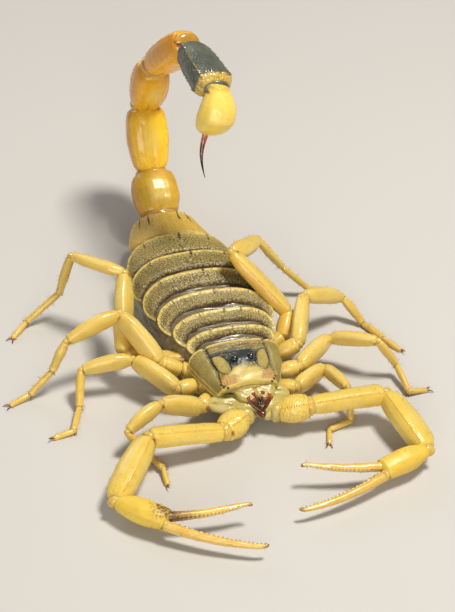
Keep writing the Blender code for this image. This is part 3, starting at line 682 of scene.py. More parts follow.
def tube_grid(start, end, side, profile, t, angle, power=2.4, lift=0.0, bow=(0.0, 0.0), ends=0.05):
    """Points of a tube: start + t(end - start) + bow sin(pi t) + w C(angle) side + h S(angle) up,
    where C and S are the squircle parts, and w and h close in at the two ends."""
    start, end = np.asarray(start, float), np.asarray(end, float)
    direction, side, up = frame_of(start, end, side)
    profile = np.array(profile)
    width = through(t, profile[:, 0], profile[:, 1])
    height = through(t, profile[:, 0], profile[:, 2])
    from_end = np.minimum(t, 1 - t) / ends
    closing = np.where(from_end < 1, np.sqrt(np.clip(1 - (1 - from_end) ** 2, 0.0, 1)), 1.0)
    closing = 0.12 + 0.88 * closing
    across, upward = squircle(angle, power)
    bend = np.sin(np.pi * t)[..., None] * (bow[0] * side + bow[1] * up)
    centre = start + t[..., None] * (end - start) + bend
    return (centre + ((width * closing + lift) * across)[..., None] * side
            + ((height * closing + lift) * upward)[..., None] * up)


def turn_distance(angle, where):
    """Shortest distance between two angles, in radians."""
    return np.abs((angle - where + np.pi) % (2 * np.pi) - np.pi)


def stripe(angle, where, width):
    """Lengthwise stripe on a tube: the bell of the turn between an angle and the stripe's own."""
    return bell(turn_distance(angle, where), width)


def around(steps):
    """Directions from headings and rises in degrees: heading from +X to +Y, rise towards +Z."""
    heading, rise = np.radians(np.asarray(steps, float).T)
    return np.stack([np.cos(rise) * np.cos(heading), np.cos(rise) * np.sin(heading),
                     np.sin(rise)], -1)


def carried_sides(directions, side):
    """Sides of a chain: each is the one before, turned by the smallest turn between directions."""
    sides = [unit(side - np.dot(side, directions[0]) * directions[0])]
    for before, after in zip(directions[:-1], directions[1:]):
        axis = np.cross(before, after)
        cosine = np.dot(before, after)
        previous = sides[-1]
        turned = (previous * cosine + np.cross(axis, previous)
                  + axis * np.dot(axis, previous) / (1 + cosine))
        sides.append(unit(turned - np.dot(turned, after) * after))
    return sides


# %% [markdown]
# ## Jaws
# The jaws are two flat swollen pads under the front edge of the shield. Their skin is thin and lets
# light through, greenish yellow. Each ends in two glossy red-brown fingers that arc inwards and
# close over each other in the middle. Below them the inner lobes of the claw arms' hips meet in a
# V round the mouth, and a pale folded skin fills the corners. Pads, fingers and lobes are tubes.

# %% Jaw materials, jaws and jaw fingers
JAW = shell_material("jaw", (0.46, 0.36, 0.075), (0.33, 0.27, 0.06), grain=(0.60, 0.45, 0.13),
                     pale=(0.54, 0.46, 0.17), rim=(0.50, 0.17, 0.02), dark=(0.10, 0.026, 0.008),
                     roughness=0.40, relief=0.35, see_in=0.1, coat=0.12, mottle_scale=900)
HORN = shell_material("horn", (0.15, 0.030, 0.008), (0.07, 0.015, 0.005), grain=(0.3, 0.08, 0.02),
                      pale=(0.40, 0.10, 0.014), rim=(0.42, 0.12, 0.015), dark=(0.022, 0.006, 0.003),
                      roughness=0.18, relief=0.06, coat=0.5, mottle_scale=700)
FACE_SKIN = shell_material("face skin", (0.55, 0.43, 0.11), (0.43, 0.345, 0.095),
                           grain=(0.6, 0.5, 0.2), pale=(0.52, 0.44, 0.17), rim=(0.66, 0.48, 0.10),
                           dark=(0.16, 0.08, 0.025), roughness=0.36, relief=0.3, see_in=0.1,
                           coat=0.15, mottle_scale=500)


def build_jaw(side, label):
    """Pad with a pale crease, then a fixed and a movable finger, bowed outwards, with teeth."""
    start = np.array([0.65 + side * 1.48, -8.7, 5.30])
    end = np.array([0.85 + side * 0.58, -11.5, 3.85])
    t, angle = tube_places(80, 64)
    crease = stripe(angle, np.pi / 2 + 0.4 * side, 0.2) * t
    spots = grains(t * 6, angle * 1.6, 0.5, 51) * bell(t - 0.75, 0.3)
    waver = ripples(np.stack([t * 5, angle, 0 * t], -1), 1.5, 53)
    veins = 0.5 + 0.5 * np.cos(angle * 9 + 2.5 * waver)
    lift = (-0.10 * crease + 0.05 * spots - 0.04 * veins * t
            + 0.08 * ripples(np.stack([t * 3, np.cos(angle), np.sin(angle)], -1), 0.9, 52))
    profile = ((0, 1.40, 0.55), (0.3, 1.42, 0.62), (0.5, 1.25, 0.62), (0.7, 1.0, 0.55),
               (0.87, 0.76, 0.42), (1, 0.5, 0.22))
    grid = tube_grid(start, end, (1, 0, 0), profile, t, angle, 3.2, lift, ends=0.08)
    inner = stripe(angle, 0 if side < 0 else np.pi, 0.55)
    grid_piece(f"jaw_{label}", grid, JAW, (f"chelicera_{label}",),
               fields={"pale": clamp(0.35 * bell(t - 0.35, 0.2) + 0.3 * crease),
                       "dark": clamp(0.6 * spots * (t > 0.5) + 0.7 * inner * t
                                     + 0.45 * veins * clamp(t - 0.2)
                                     + 0.8 * clamp((t - 0.60) / 0.25)),
                       "rim": clamp(0.9 * clamp((t - 0.4) / 0.3) * (0.4 + inner))})
    for k, (root, tip, thick, bow) in enumerate((
            ((0.66, -10.05, 5.08), (0.06, -11.60, 4.32), 0.34, 0.06),
            ((1.45, -10.35, 4.78), (-0.05, -12.35, 3.75), 0.44, 0.22))):
        root, tip = (np.array(place) * (side, 1, 1) + (0.85, 0, 0) for place in (root, tip))
        t, angle = tube_places(60, 32)
        within = stripe(angle, np.pi / 2 * (1 + side * 0.6), 0.7)
        tooth = np.abs(np.sin(np.pi * 3.5 * t)) ** 2 * within * (1 - t)
        stations = np.linspace(0, 1, 8)
        radius = thick * (1 - 0.8 * stations ** 1.6)
        grid = tube_grid(root, tip, (1, 0, 0), np.column_stack([stations, radius, radius]),
                         t, angle, 2.2, 0.10 * tooth, bow=(side * bow, 0.1))
        grid_piece(f"jaw_{label}_finger_{k + 1}", grid, HORN,
                   fields={"dark": clamp(within * clamp(t * 3) + t ** 1.5),
                           "pale": 0.7 * bell(t, 0.25) * (1 - within)})


for side, label in ((-1, "right"), (1, "left")):
    build_jaw(side, label)
    t, angle = tube_places(70, 48)
    inward = stripe(angle, np.pi / 2 * (1 + side * 0.7), 0.35)
    wrinkles = ripples(np.stack([t * 9, angle, 0 * t], -1), 1.6, 56)
    lobe = tube_grid((side * 3.1, -9.4, 3.1), (0.55 + side * 0.85, -12.5, 2.5), (1, 0, 0),
                     ((0, 1.3, 1.1), (0.4, 1.1, 1.0), (0.8, 0.7, 0.75), (1, 0.45, 0.5)), t, angle,
                     2.4, 0.05 * wrinkles + 0.10 * inward, ends=0.16)
    grid_piece(f"mouth_lobe_{label}", lobe, FACE_SKIN,
               fields={"rim": 0.8 * bell(angle - np.pi / 2, 0.8), "dark": 0.75 * inward * t,
                       "pale": clamp(wrinkles)})
    corner = ball_grid((side * 2.9, -9.2, 3.5), (2.6, 2.3, 0.85), 70, 96)
    corner_folds = ripples(corner * (0.6, 1.2, 1.2), 1.0, 57)
    corner[..., 2] += 0.16 * corner_folds
    # The dark mask is painted shade in the troughs of the corner's folds.
    grid_piece(f"face_corner_{label}", corner, FACE_SKIN,
               fields={"pale": clamp(0.5 + ripples(corner, 0.8, 58)),
                       "dark": 0.6 * clamp(-corner_folds)})
grid_piece("front_skin", ball_grid((0.0, -9.15, 5.3), (2.9, 0.5, 0.6)), FACE_SKIN,
           fields={"dark": np.full((32, 48), 0.4)})
grid_piece("mouth", ball_grid((0.85, -11.9, 3.35), (0.55, 1.05, 0.55)), HORN,
           fields={"dark": np.full((32, 48), 0.35)})

# %% [markdown]
# ## The tail
# Five hard segments carry the bulb and the sting. Each is a short box with rounded faces, narrower
# at its root, with keels of grains along its corners and a smooth hollow face between them. Two
# smooth lips at the far end hold the next segment. The joints show a pale glossy skin. The path
# repeats the solids: the directions are set by rise and by a small lean to one side.

# %% Tail path
TAIL_BASE = np.array([-0.6, 29.6, 4.7])
TAIL_LENGTHS = (7.2, 9.8, 8.6, 9.9, 10.9, 6.2, 5.7)
TAIL_WIDTHS, TAIL_HEIGHTS = (6.5, 5.8, 5.1, 4.9, 5.1), (5.3, 5.0, 4.7, 4.3, 4.0)
TAIL_STEPS = np.radians([(31, 2), (62, 0), (110, 2.5), (133, 14), (184, 5), (256, -15),
                         (236, -9)])
rise, lean = TAIL_STEPS.T
tail_directions = np.stack([np.sin(lean), np.cos(lean) * np.cos(rise),
                            np.cos(lean) * np.sin(rise)], -1)
tail_nodes = TAIL_BASE + np.vstack([np.zeros(3), np.cumsum(
    tail_directions * np.array(TAIL_LENGTHS)[:, None], axis=0)])
tail_sides = carried_sides(tail_directions, np.array([1.0, 0.0, 0.0]))
print("tail length, mm:", sum(TAIL_LENGTHS), "highest point:", tail_nodes[:, 2].max().round(1))

# %% Tail materials
# The amber pale colour is partly a painted glow down the back face, and the amber rim colour partly
# painted shade along the flanks.
AMBER_GLOW_AND_PALE, AMBER_SHADE_AND_RIM = (0.84, 0.62, 0.12), (0.60, 0.25, 0.012)
# The lilac colour is a painted sky reflection on the top of the fifth segment, near its root.
SKY_SHEEN_LILAC, STRAW_RIM = (0.30, 0.34, 0.40), (0.62, 0.40, 0.06)
# ground, mottle, pale and rim colours, then roughness, coat and how far light passes in
TAIL_FINISHES = (
    ((0.66, 0.40, 0.030), (0.47, 0.30, 0.035), AMBER_GLOW_AND_PALE, AMBER_SHADE_AND_RIM, 0.34, 0.2, 0.2),
    ((0.95, 0.60, 0.030), (0.86, 0.49, 0.02), AMBER_GLOW_AND_PALE, AMBER_SHADE_AND_RIM, 0.28, 0.3, 0.2),
    ((0.76, 0.38, 0.014), (0.84, 0.47, 0.02), AMBER_GLOW_AND_PALE, AMBER_SHADE_AND_RIM, 0.26, 0.35, 0.2),
    ((0.82, 0.37, 0.016), (0.86, 0.46, 0.03), AMBER_GLOW_AND_PALE, AMBER_SHADE_AND_RIM, 0.26, 0.35, 0.2),
    ((0.070, 0.078, 0.058), (0.13, 0.140, 0.100), SKY_SHEEN_LILAC, STRAW_RIM, 0.24, 0.5, 0.0))
TAIL_MATERIALS = [
    shell_material(f"tail {k}", ground, mottle, grain=(0.74, 0.50, 0.09), pale=pale, rim=rim,
                   dark=(0.16, 0.045, 0.010), roughness=roughness, relief=0.18, coat=coat,
                   see_in=see_in, mottle_scale=330)
    for k, (ground, mottle, pale, rim, roughness, coat, see_in) in enumerate(TAIL_FINISHES, 1)]
JOINT_SKIN = shell_material("joint skin", (0.66, 0.45, 0.085), (0.54, 0.34, 0.06),
                            grain=(0.74, 0.6, 0.25), pale=(0.72, 0.56, 0.20), rim=(0.6, 0.3, 0.05),
                            dark=(0.22, 0.09, 0.03), roughness=0.2, relief=0.1, coat=0.4,
                            see_in=0.3, mottle_scale=800)
TAIL_SKIN = shell_material("tail joint skin", (0.56, 0.30, 0.03), (0.44, 0.20, 0.02),
                           grain=(0.7, 0.5, 0.15), pale=(0.80, 0.66, 0.36), rim=(0.6, 0.3, 0.05),
                           dark=(0.20, 0.07, 0.02), roughness=0.12, relief=0.1, coat=0.8,
                           see_in=0.25, mottle_scale=800)

# %% Tail segments
CORNERS = (0.60, np.pi - 0.60, np.pi + 0.62, 2 * np.pi - 0.62)
SIDES_LOW = (0.12, np.pi - 0.12, 1.5 * np.pi - 0.42, 1.5 * np.pi + 0.42)


def build_tail_segment(k):
    """Barrel with four corner keels, fine lengthwise lines, a back hollow and a far rim."""
    t, angle = tube_places(164, 124)
    last = k == 4
    half_width, half_height = TAIL_WIDTHS[k] / 2, TAIL_HEIGHTS[k] / 2
    shape = (((0, 0.60), (0.15, 0.78), (0.4, 0.92), (0.7, 0.99), (0.9, 1.0), (1, 0.84)) if last else
             ((0, 0.68), (0.13, 0.84), (0.35, 0.98), (0.6, 1.02), (0.85, 0.93), (1, 0.76)))
    profile = [(place, part * half_width, part * half_height) for place, part in shape]
    length = TAIL_LENGTHS[k]
    beads = 0.5 + 0.5 * np.cos(2 * np.pi * length * t / 0.42)
    keel = sum(stripe(angle, corner, 0.075) for corner in CORNERS)
    lesser = sum(stripe(angle, corner, 0.06) for corner in SIDES_LOW)
    fade = clamp(t / 0.12) * clamp((0.95 - t) / 0.08)
    back = stripe(angle, np.pi / 2, 0.42)
    hollow = back * np.sin(np.pi * clamp(t * 1.05)) ** 0.6
    seam = stripe(angle, np.pi / 2, 0.11) * clamp((0.5 - t) / 0.4)
    fine_lines = np.cos(angle * 22 + 0.6 * np.sin(t * 5)) * fade * (np.sin(angle) > -0.5)
    rim = bell(t - 0.945, 0.03) * clamp(np.sin(angle) + 0.9)
    rim_grains = grains(angle * half_width, t * length, 0.38, 65 + k, 0.25)
    stipple = grains(t * length, angle * half_width, 0.36, 60 + k, 0.22) * fade
    low = clamp(0.5 - np.sin(angle))
    band = clamp((t - 0.87) / 0.04) * (1 - bell(t - 1.0, 0.02)) * last
    lift = (keel * fade * (0.07 + (0.16 if last else 0.07) * beads) + 0.05 * lesser * fade
            - 0.12 * hollow - 0.24 * seam + 0.012 * fine_lines + 0.05 * rim * rim_grains
            + (0.11 * stipple if last else 0.02 * stipple * low) + 0.14 * band * (0.3 + rim_grains)
            + 0.06 * ripples(np.stack([t * 8, np.cos(angle) * 2, np.sin(angle) * 2], -1), 2.2, k))
    start = tail_nodes[k] + (0.5 if last else 0.05) * tail_directions[k]
    end = tail_nodes[k + 1] + (0.9 if k == 3 else -0.05) * tail_directions[k]
    grid = tube_grid(start, end, tail_sides[k], profile, t, angle, 2.5, lift,
                     ends=0.16 if last else 0.10)
    flanks = stripe(angle, 0.0, 0.7) + stripe(angle, np.pi, 0.7)
    dark = (0.5 * bell(t - 0.99, 0.02) + 0.35 * bell(t - 0.02, 0.03) + 0.35 * seam
            + 0.08 * clamp(fine_lines) * (not last))
    if k == 3:
        dark = dark + 0.9 * bell(t - 0.97, 0.04) * stripe(angle, np.pi + 0.1, 0.6)
    if last:
        rim_colour = 1.2 * band * (0.45 + 0.55 * rim_grains) + 0.6 * keel * fade * beads * (t > 0.6)
    else:
        # Painted shade: the flank term darkens both sides to a deeper amber; the other terms tint
        # both ends.
        rim_colour = (0.8 * flanks * np.sin(np.pi * t) ** 0.5 + 0.4 * bell(t - 0.9, 0.08)
                      + 0.5 * bell(t, 0.1))
    colour = {"rim": clamp(rim_colour),
              "grain": clamp(0.5 * keel * fade * beads + 0.6 * rim * rim_grains
                               + (0.4 * clamp(stipple - 0.5) * low * (t > 0.4) if last else 0)),
              # The back term is a painted glow down the middle of the back face.
              "pale": clamp(0.6 * back * bell(t - 0.5, 0.3) * (k in (0, 1, 2))
                              + 0.4 * rim * (not last) + 0.3 * bell(t - 0.03, 0.03)
                              # On the fifth segment this term is a painted sky reflection in lilac
                              # on its top near the root.
                              + 0.8 * last * bell(t - 0.1, 0.12) * stripe(angle, np.pi / 2, 0.9)),
              "dark": clamp(dark)}
    return grid_piece(f"tail_{k + 1}", grid, TAIL_MATERIALS[k],
                      (f"metasoma_{k + 1}",),
                      fields=colour)


for k in range(5):
    build_tail_segment(k)

# %% [markdown]
# ## Joint skin
# At every joint the hard parts leave a gap that a soft glossy skin bridges. A short fat tube across
# the joint, held a little inside both neighbours, is how it is built here: a few rings of folds run
# round it. The same helper serves the tail, the claw arms and the legs.

# %% Joint skins
def build_joint_skin(name, centre, before, after, half_width, half_height, side,
                     material=JOINT_SKIN):
    """Barrel across a joint, turned half way between its two segments, with rings of folds."""
    direction = unit(before + after)
    reach = 0.42 * min(half_width, half_height) + 0.3
    t, angle = tube_places(26, 28)
    profile = ((0, 0.6 * half_width, 0.6 * half_height), (0.3, half_width, half_height),
               (0.7, half_width, half_height), (1, 0.6 * half_width, 0.6 * half_height))
    waver = ripples(np.stack([angle, t, t], -1), 1.5, 7)
    folds = 0.035 * np.cos(t * 34 + waver) * bell(t - 0.5, 0.3)
    grid = tube_grid(centre - reach * direction, centre + reach * direction, side, profile,
                     t, angle, 2.3, folds, ends=0.2)
    # The dark mask is painted shade in the troughs of the folds.
    return grid_piece(name, grid, material,
                      fields={"pale": 0.35 * bell(t - 0.5, 0.3),
                              "dark": 0.4 * clamp(-folds / 0.03)})


for k in range(6):
    before = tail_directions[k - 1] if k else unit([0.02, 1.0, 0.1])
    width = TAIL_WIDTHS[min(k, 4)] * (0.36, 0.37, 0.37, 0.37, 0.35, 0.16)[k]
    height = TAIL_HEIGHTS[min(k, 4)] * (0.36, 0.37, 0.37, 0.37, 0.35, 0.16)[k]
    build_joint_skin(f"tail_joint_{k + 1}", tail_nodes[k], before, tail_directions[k], width,
                     height, tail_sides[k], TAIL_SKIN)
grid_piece("tail_end_skin", ball_grid(tail_nodes[5] - 0.1 * tail_directions[4], (1.75, 0.42, 1.3)),
           TAIL_MATERIALS[4], fields={"grain": np.full((32, 48), 0.1)})

# %% [markdown]
# ## Bulb and sting
# The bulb is a smooth egg, bulging more on its belly side, with faint grooves from end to end. The
# sting leaves it in a slow curve, red-brown at the root and black at the needle point.

# %% Bulb and sting
BULB = shell_material("venom bulb", (0.86, 0.64, 0.13), (0.82, 0.57, 0.09), grain=(0.88, 0.72, 0.2),
                      pale=(0.88, 0.68, 0.20), rim=(0.66, 0.34, 0.04), dark=(0.30, 0.09, 0.02),
                      roughness=0.26, relief=0.1, see_in=0.35, coat=0.35, mottle_scale=300)
STING = shell_material("sting", (0.20, 0.03, 0.008), (0.10, 0.016, 0.006), grain=(0.3, 0.1, 0.03),
                       pale=(0.50, 0.11, 0.015), rim=(0.2, 0.06, 0.02), dark=(0.006, 0.004, 0.004),
                       roughness=0.12, relief=0.05, coat=0.8, mottle_scale=700)
t, angle = tube_places(120, 100)
egg = [(place, part * 2.5, part * 2.3) for place, part in
       ((0, 0.46), (0.1, 0.60), (0.28, 0.84), (0.52, 1.0), (0.74, 0.97), (0.91, 0.70), (1, 0.34))]
grooves = np.cos(angle * 8) * np.sin(np.pi * t)
collar = bell(t - 0.05, 0.035)
spots = bell(t - 0.17, 0.035) * (stripe(angle, 0.0, 0.35) + stripe(angle, np.pi, 0.35))
pitted = grains(t * 6.6, angle * 2.4, 0.42, 71) * bell(t - 0.35, 0.3)
bulb = tube_grid(tail_nodes[5] - 0.9 * tail_directions[5], tail_nodes[6], tail_sides[5],
                 egg, t, angle, 2.1, 0.035 * grooves + 0.03 * pitted + 0.06 * collar, ends=0.05)
belly_side = unit(np.cross(tail_directions[5], tail_sides[5]))
bulb += (4 * t * (1 - t))[..., None] * (0.6 * belly_side + 0.55 * tail_sides[5])
grid_piece("venom_bulb", bulb, BULB, ("telson_vesicle",),
           fields={"pale": 0.4 * clamp(grooves), "rim": 0.6 * collar + 0.3 * bell(t - 1, 0.1),
                   "dark": clamp(spots)})

t, angle = tube_places(120, 40)
needle = np.stack([np.linspace(0, 1, 30), 0.50 - 0.46 * np.linspace(0, 1, 30) ** 0.8], 1)
waver = ripples(np.stack([t * 6, np.cos(angle), np.sin(angle)], -1), 1.0, 4)
sting = tube_grid(tail_nodes[6] - 0.35 * tail_directions[6], tail_nodes[7], tail_sides[6],
                  np.column_stack([needle, needle[:, 1]]), t, angle, 2.0,
                  0.03 * waver * (1 - t),
                  bow=(-0.35, 0.55), ends=0.02)
grid_piece("sting", sting, STING, ("aculeus",),
           fields={"dark": clamp(2.2 * (t - 0.32)), "pale": 0.9 * bell(t, 0.3)})

# %% [markdown]
# ## Bristles
# Legs and claw arms carry sparse stiff bristles. A bristle is a thin three-sided cone with a slight
# bend, far too fine to model one by one, so all the bristles of a region are one mesh made in one
# go. Each root is taken from the grid it grows on, with its normal, and remembered here until the
# limb is done. Its patch of the unwrap lies where the root lies on the unwrap of that skin.

# %% Bristle helpers
BRISTLES = {}
PATCH = 0.003


def plant(region, grid, strip, count, length, seed, low=0.06, high=0.94, spread=(0.0, 2 * np.pi)):
    """Remember roots picked by chance on a grid: place, normal, along, unwrap place and length."""
    chance = np.random.default_rng(seed)
    rows, columns = grid.shape[:2]
    i = (rows * chance.uniform(low, high, count)).astype(int)
    j = (columns * chance.uniform(*spread, count) / (2 * np.pi)).astype(int) % columns
    normals = grid_normals(grid)
    along = unit(np.gradient(grid, axis=0))
    places = np.stack([(strip + j / columns) / 16, i / rows], -1)
    BRISTLES.setdefault(region, []).append(
        (grid[i, j], normals[i, j], along[i, j], places, length * chance.uniform(0.6, 1.15, count)))


def build_bristles(region, material):
    """Cones from remembered roots: ring centres r + n s l + d 0.35 s s l, radius falling off."""
    roots, normals, along, places, lengths = [np.concatenate(part)
                                              for part in zip(*BRISTLES[region])]
    tangent = np.cross(normals, along)
    s = np.array([-0.05, 0.35, 0.7, 1.0])
    radii = 0.026 * np.array([1.0, 0.75, 0.45, 0.06])
    turn = np.arange(3) * 2 * np.pi / 3
    centre = (roots[:, None] + (normals[:, None] * s[:, None] + 0.35 * along[:, None]
                                * s[:, None] ** 2) * lengths[:, None, None])
    ring = (np.cos(turn)[:, None] * tangent[:, None] + np.sin(turn)[:, None] * along[:, None])
    points = centre[:, :, None] + radii[:, None, None] * ring[:, None]
    count = len(roots)
    base = np.arange(count)[:, None, None] * 12
    k, j = np.meshgrid(np.arange(3), np.arange(3), indexing="ij")
    after = (j + 1) % 3
    quads = np.stack([k * 3 + j, k * 3 + after, (k + 1) * 3 + after, (k + 1) * 3 + j], -1)
    caps = np.array([[2, 1, 0], [9, 10, 11]])
    loops = np.concatenate([(base + quads.reshape(1, -1, 4)).reshape(count, -1),
                            (base + caps[None]).reshape(count, -1)], axis=1)
    corners = np.concatenate([np.full(9, 4), np.full(2, 3)])
    starts = (np.cumsum(corners) - corners)[None] + np.arange(count)[:, None] * corners.sum()
    local = loops - np.arange(count)[:, None] * 12
    offset = np.stack([(local % 3) / 3 - 0.33, s[local // 3] - 0.5], -1) * PATCH
    uv = places[:, None] + offset
    mesh = fill_mesh(f"bristles_{region}", points.reshape(-1, 3), loops.ravel(), starts.ravel(),
                     ("OFBake", uv.reshape(-1, 2)), {"dark": np.tile(np.repeat(s, 3), count) * 0.5})
    return finish_piece(f"bristles_{region}", mesh, material, ())


# %% [markdown]
# ## Limb chains
# A limb is a chain of segments. The path is found from the headings and rises of the segments and
# their lengths, and the side direction is carried along the chain without twist, so the top stays
# on top. One helper makes any segment: a tube with keels at given angles, beads on the keels,
# grains on the faces, a thickened far rim and darker hinge spots at its two sides.

# %% Limb helpers
def chain(root, directions, lengths):
    """Joint places of a chain of segments, and the side direction of each."""
    steps = np.asarray(directions) * np.asarray(lengths)[:, None]
    nodes = np.asarray(root, float) + np.vstack([np.zeros(3), np.cumsum(steps, axis=0)])
    return nodes, carried_sides(directions, np.cross(directions[2], (0.0, 0.0, 1.0)))


def build_segment(name, start, end, side, profile, size, power, keels, material,
                  replaced=(), bead=0.3, height=0.1, stipple=0.03, seed=0, bow=(0.0, 0.0),
                  paint=None, ends=0.07):
    """Tube with beaded keels: lift is keel bells times (0.4 + 0.7 beads), grains and a rim."""
    length = np.linalg.norm(np.subtract(end, start))
    t, angle = tube_places(*size)
    beads = np.abs(np.sin(np.pi * t * length / bead))
    fade = clamp(t / 0.08) * clamp((1 - t) / 0.10)
    keel = sum((strength * stripe(angle, where, width)
                for where, strength, width in keels), np.zeros(t.shape))
    mean_width = np.mean([station[1] for station in profile])
    stippled = grains(t * length, angle * mean_width, 0.27, seed + 80, 0.10) * fade
    hinge = bell(t - 0.965, 0.03 + 0.25 / length / 6) * (stripe(angle, 0.0, 0.35)
                                                       + stripe(angle, np.pi, 0.35))
    rim = bell((1 - t) * length - 0.42, 0.2)
    around_it = np.stack([t * length, mean_width * np.cos(angle), mean_width * np.sin(angle)], -1)
    lift = (height * keel * fade * (0.4 + 0.7 * beads) + stipple * stippled + 0.06 * rim
            + 0.10 * hinge + 0.03 * ripples(around_it, 2.0, seed))
    colour = {"rim": clamp(0.35 * keel * fade), "grain": clamp(stippled * 0.4),
              "dark": clamp(1.0 * keel * fade * beads ** 3 * (height > 0.05) + 0.8 * hinge),
              "pale": clamp(0.35 * bell((1 - t) * length, 0.45) + 0.35 * bell(t * length, 0.5))}
    for label, value in (paint(t, angle) if paint else {}).items():
        colour[label] = clamp(colour[label] + value)
    grid = tube_grid(start, end, side, profile, t, angle, power, lift, bow, ends)
    grid_piece(name, grid, material, replaced, fields=colour)
    return grid


def build_spike(name, start, direction, side, length, radius, bend, material):
    """Small curved claw: a tapering tube that bows sideways, closed at a blunt point."""
    t, angle = tube_places(18, 14)
    stations = np.linspace(0, 1, 8)
    width = radius * (1 - 0.85 * stations ** 1.2)
    profile = np.column_stack([stations, width, width])
    grid = tube_grid(start, start + length * direction, side, profile, t, angle, 2.0,
                     bow=(0.0, bend), ends=0.08)
    return grid_piece(name, grid, material, fields={"dark": t ** 1.5, "pale": 0.8 * (1 - t)})


# %% [markdown]
# ## Eight legs
# Every leg has a hip fixed under the head, a short knob, a deep flat thigh, a knee piece whose
# lower edge is rounded, a slender shin, and a foot of two thin parts with two dark claws. The skin
# is so thin that it glows. The undersides are tinted a warmer orange as painted shade, and the
# upper faces of thigh and knee paler as a painted highlight. Each leg is posed by its own headings
# and rises, and the rise of the last part is found so that the foot comes down on the floor.

# %% Leg data and materials
# The leg's rim colour is both the warm keel colour and the painted shade of the undersides, and its
# pale colour also gives the painted highlight on the upper faces.
LEG = shell_material("leg", (0.72, 0.515, 0.115), (0.65, 0.45, 0.085), grain=(0.74, 0.46, 0.08),
                     pale=(0.76, 0.61, 0.22), rim=(0.74, 0.40, 0.045), dark=(0.28, 0.10, 0.015),
                     roughness=0.32, relief=0.15, see_in=0.25, coat=0.3, mottle_scale=380)
BRISTLE = shell_material("bristle", (0.42, 0.20, 0.05), (0.34, 0.15, 0.04), grain=(0.5, 0.3, 0.1),
                         pale=(0.6, 0.4, 0.15), rim=(0.4, 0.2, 0.05), dark=(0.18, 0.07, 0.02),
                         roughness=0.4, relief=0.0)
LEG_LENGTHS = {1: (2.2, 6.0, 5.7, 4.2, 3.4, 2.6), 2: (2.6, 7.2, 6.8, 4.8, 4.4, 2.8),
               3: (3.0, 8.2, 7.8, 4.6, 4.3, 3.0), 4: (3.8, 11.3, 8.0, 6.6, 6.0, 3.4)}
LEG_SCALE = {1: 0.92, 2: 0.97, 3: 1.0, 4: 1.06}
FOOT_AXIS = 0.18
# hip place, then headings and rises of knob, thigh, knee, shin and first foot part, last heading
LEG_POSE = {
    ("right", 1): ((-4.9, -7.4, 3.0), (232, 5), (184, 20), (207, -15), (334, -50), (289, 4), 267),
    ("right", 2): ((-5.8, -5.0, 3.4), (192, 3), (130, 13), (175, -8), (253, -48), (246, -2), 189),
    ("right", 3): ((-6.9, -1.9, 3.7), (169, 22), (128, 37), (191, -15), (197, -63), (189, -43),
                   198),
    ("right", 4): ((-9.9, 1.0, 3.9), (172, 11), (75, 34), (137, -1), (162, -76), (187, -38), 224),
    ("left", 1): ((4.8, -7.4, 3.0), (334, 4), (33, -3), (283, 8), (264, -50), (195, -1), 250),
    ("left", 2): ((5.6, -5.1, 3.4), (356, 12), (37, 2), (323, 14), (343, -54), (274, -17), 5),
    ("left", 3): ((6.4, -2.0, 3.7), (0, 27), (66, 13), (19, -25), (316, -43), (292, 1), 301),
    ("left", 4): ((8.0, 0.9, 3.9), (59, 25), (141, 40), (43, -18), (0, -54), (347, -44), 341)}
LEG_PARTS = (
    ("knob", "leg_{}_femur", ((0, 0.85, 1.0), (0.5, 1.05, 1.2), (1, 0.85, 1.0)), (40, 40), 2.3),
    ("thigh", None, ((0, 0.85, 1.05), (0.16, 0.98, 1.32), (0.5, 1.0, 1.36), (0.86, 0.84, 1.12),
                     (1, 0.6, 0.7)), (88, 44), 2.7),
    ("knee", "leg_{}_patella", ((0, 0.55, 0.65), (0.2, 0.78, 1.08), (0.5, 0.82, 1.16),
                                (0.85, 0.68, 0.88), (1, 0.5, 0.58)), (80, 40), 2.5),
    ("shin", "leg_{}_foot", ((0, 0.44, 0.5), (0.3, 0.53, 0.62), (0.8, 0.48, 0.54),
                             (1, 0.42, 0.46)), (70, 32), 2.2),
    ("foot", None, ((0, 0.4, 0.44), (0.5, 0.42, 0.45), (1, 0.36, 0.4)), (56, 28), 2.1),
    ("toe", None, ((0, 0.32, 0.34), (0.5, 0.36, 0.38), (1, 0.26, 0.28)), (48, 24), 2.0))
UPPER, LOWER = (0.5 * np.pi, 1.5 * np.pi)
THIGH_KEELS = ((UPPER - 0.45, 0.5, 0.09), (UPPER + 0.45, 0.5, 0.09), (LOWER - 0.4, 0.9, 0.08),
               (LOWER + 0.4, 0.9, 0.08))
KNEE_KEELS = ((UPPER, 0.5, 0.10), (LOWER - 0.35, 0.5, 0.09), (LOWER + 0.35, 0.5, 0.09))
LEG_KEELS = ((), THIGH_KEELS, KNEE_KEELS, (), (), ())


def leg_chain(hip, steps, last_heading, lengths):
    """Places of a leg's joints: the last part's rise is the one that ends at the foot's height."""
    root = np.array([0.0, 0.6 * hip[1] - 2.4, 3.0])
    ankle = np.asarray(hip) + (around(steps) * np.array(lengths[:5])[:, None]).sum(axis=0)
    last_rise = math.degrees(math.asin((FOOT_AXIS - ankle[2]) / lengths[5]))
    directions = np.vstack([unit(np.asarray(hip) - root),
                            around([*steps, (last_heading, last_rise)])])
    hip_length = np.linalg.norm(np.asarray(hip) - root)
    return chain(root, directions, (hip_length, *lengths)), directions


# %% Building the legs
def knee_paint(t, angle):
    """Painted shade, orange, on the rounded lower edge, and a painted highlight line above it."""
    return {"rim": 0.9 * stripe(angle, LOWER, 0.5) * np.sin(np.pi * t),
            "pale": 0.5 * stripe(angle, 0.3 * np.pi, 0.7) * np.sin(np.pi * t)}


def thigh_paint(t, angle):
    """Painted highlight on the upper face, painted shade in warmer orange on the lower edge."""
    return {"pale": 0.6 * stripe(angle, UPPER, 0.6) * np.sin(np.pi * t),
            "rim": 0.6 * stripe(angle, LOWER, 0.6)}


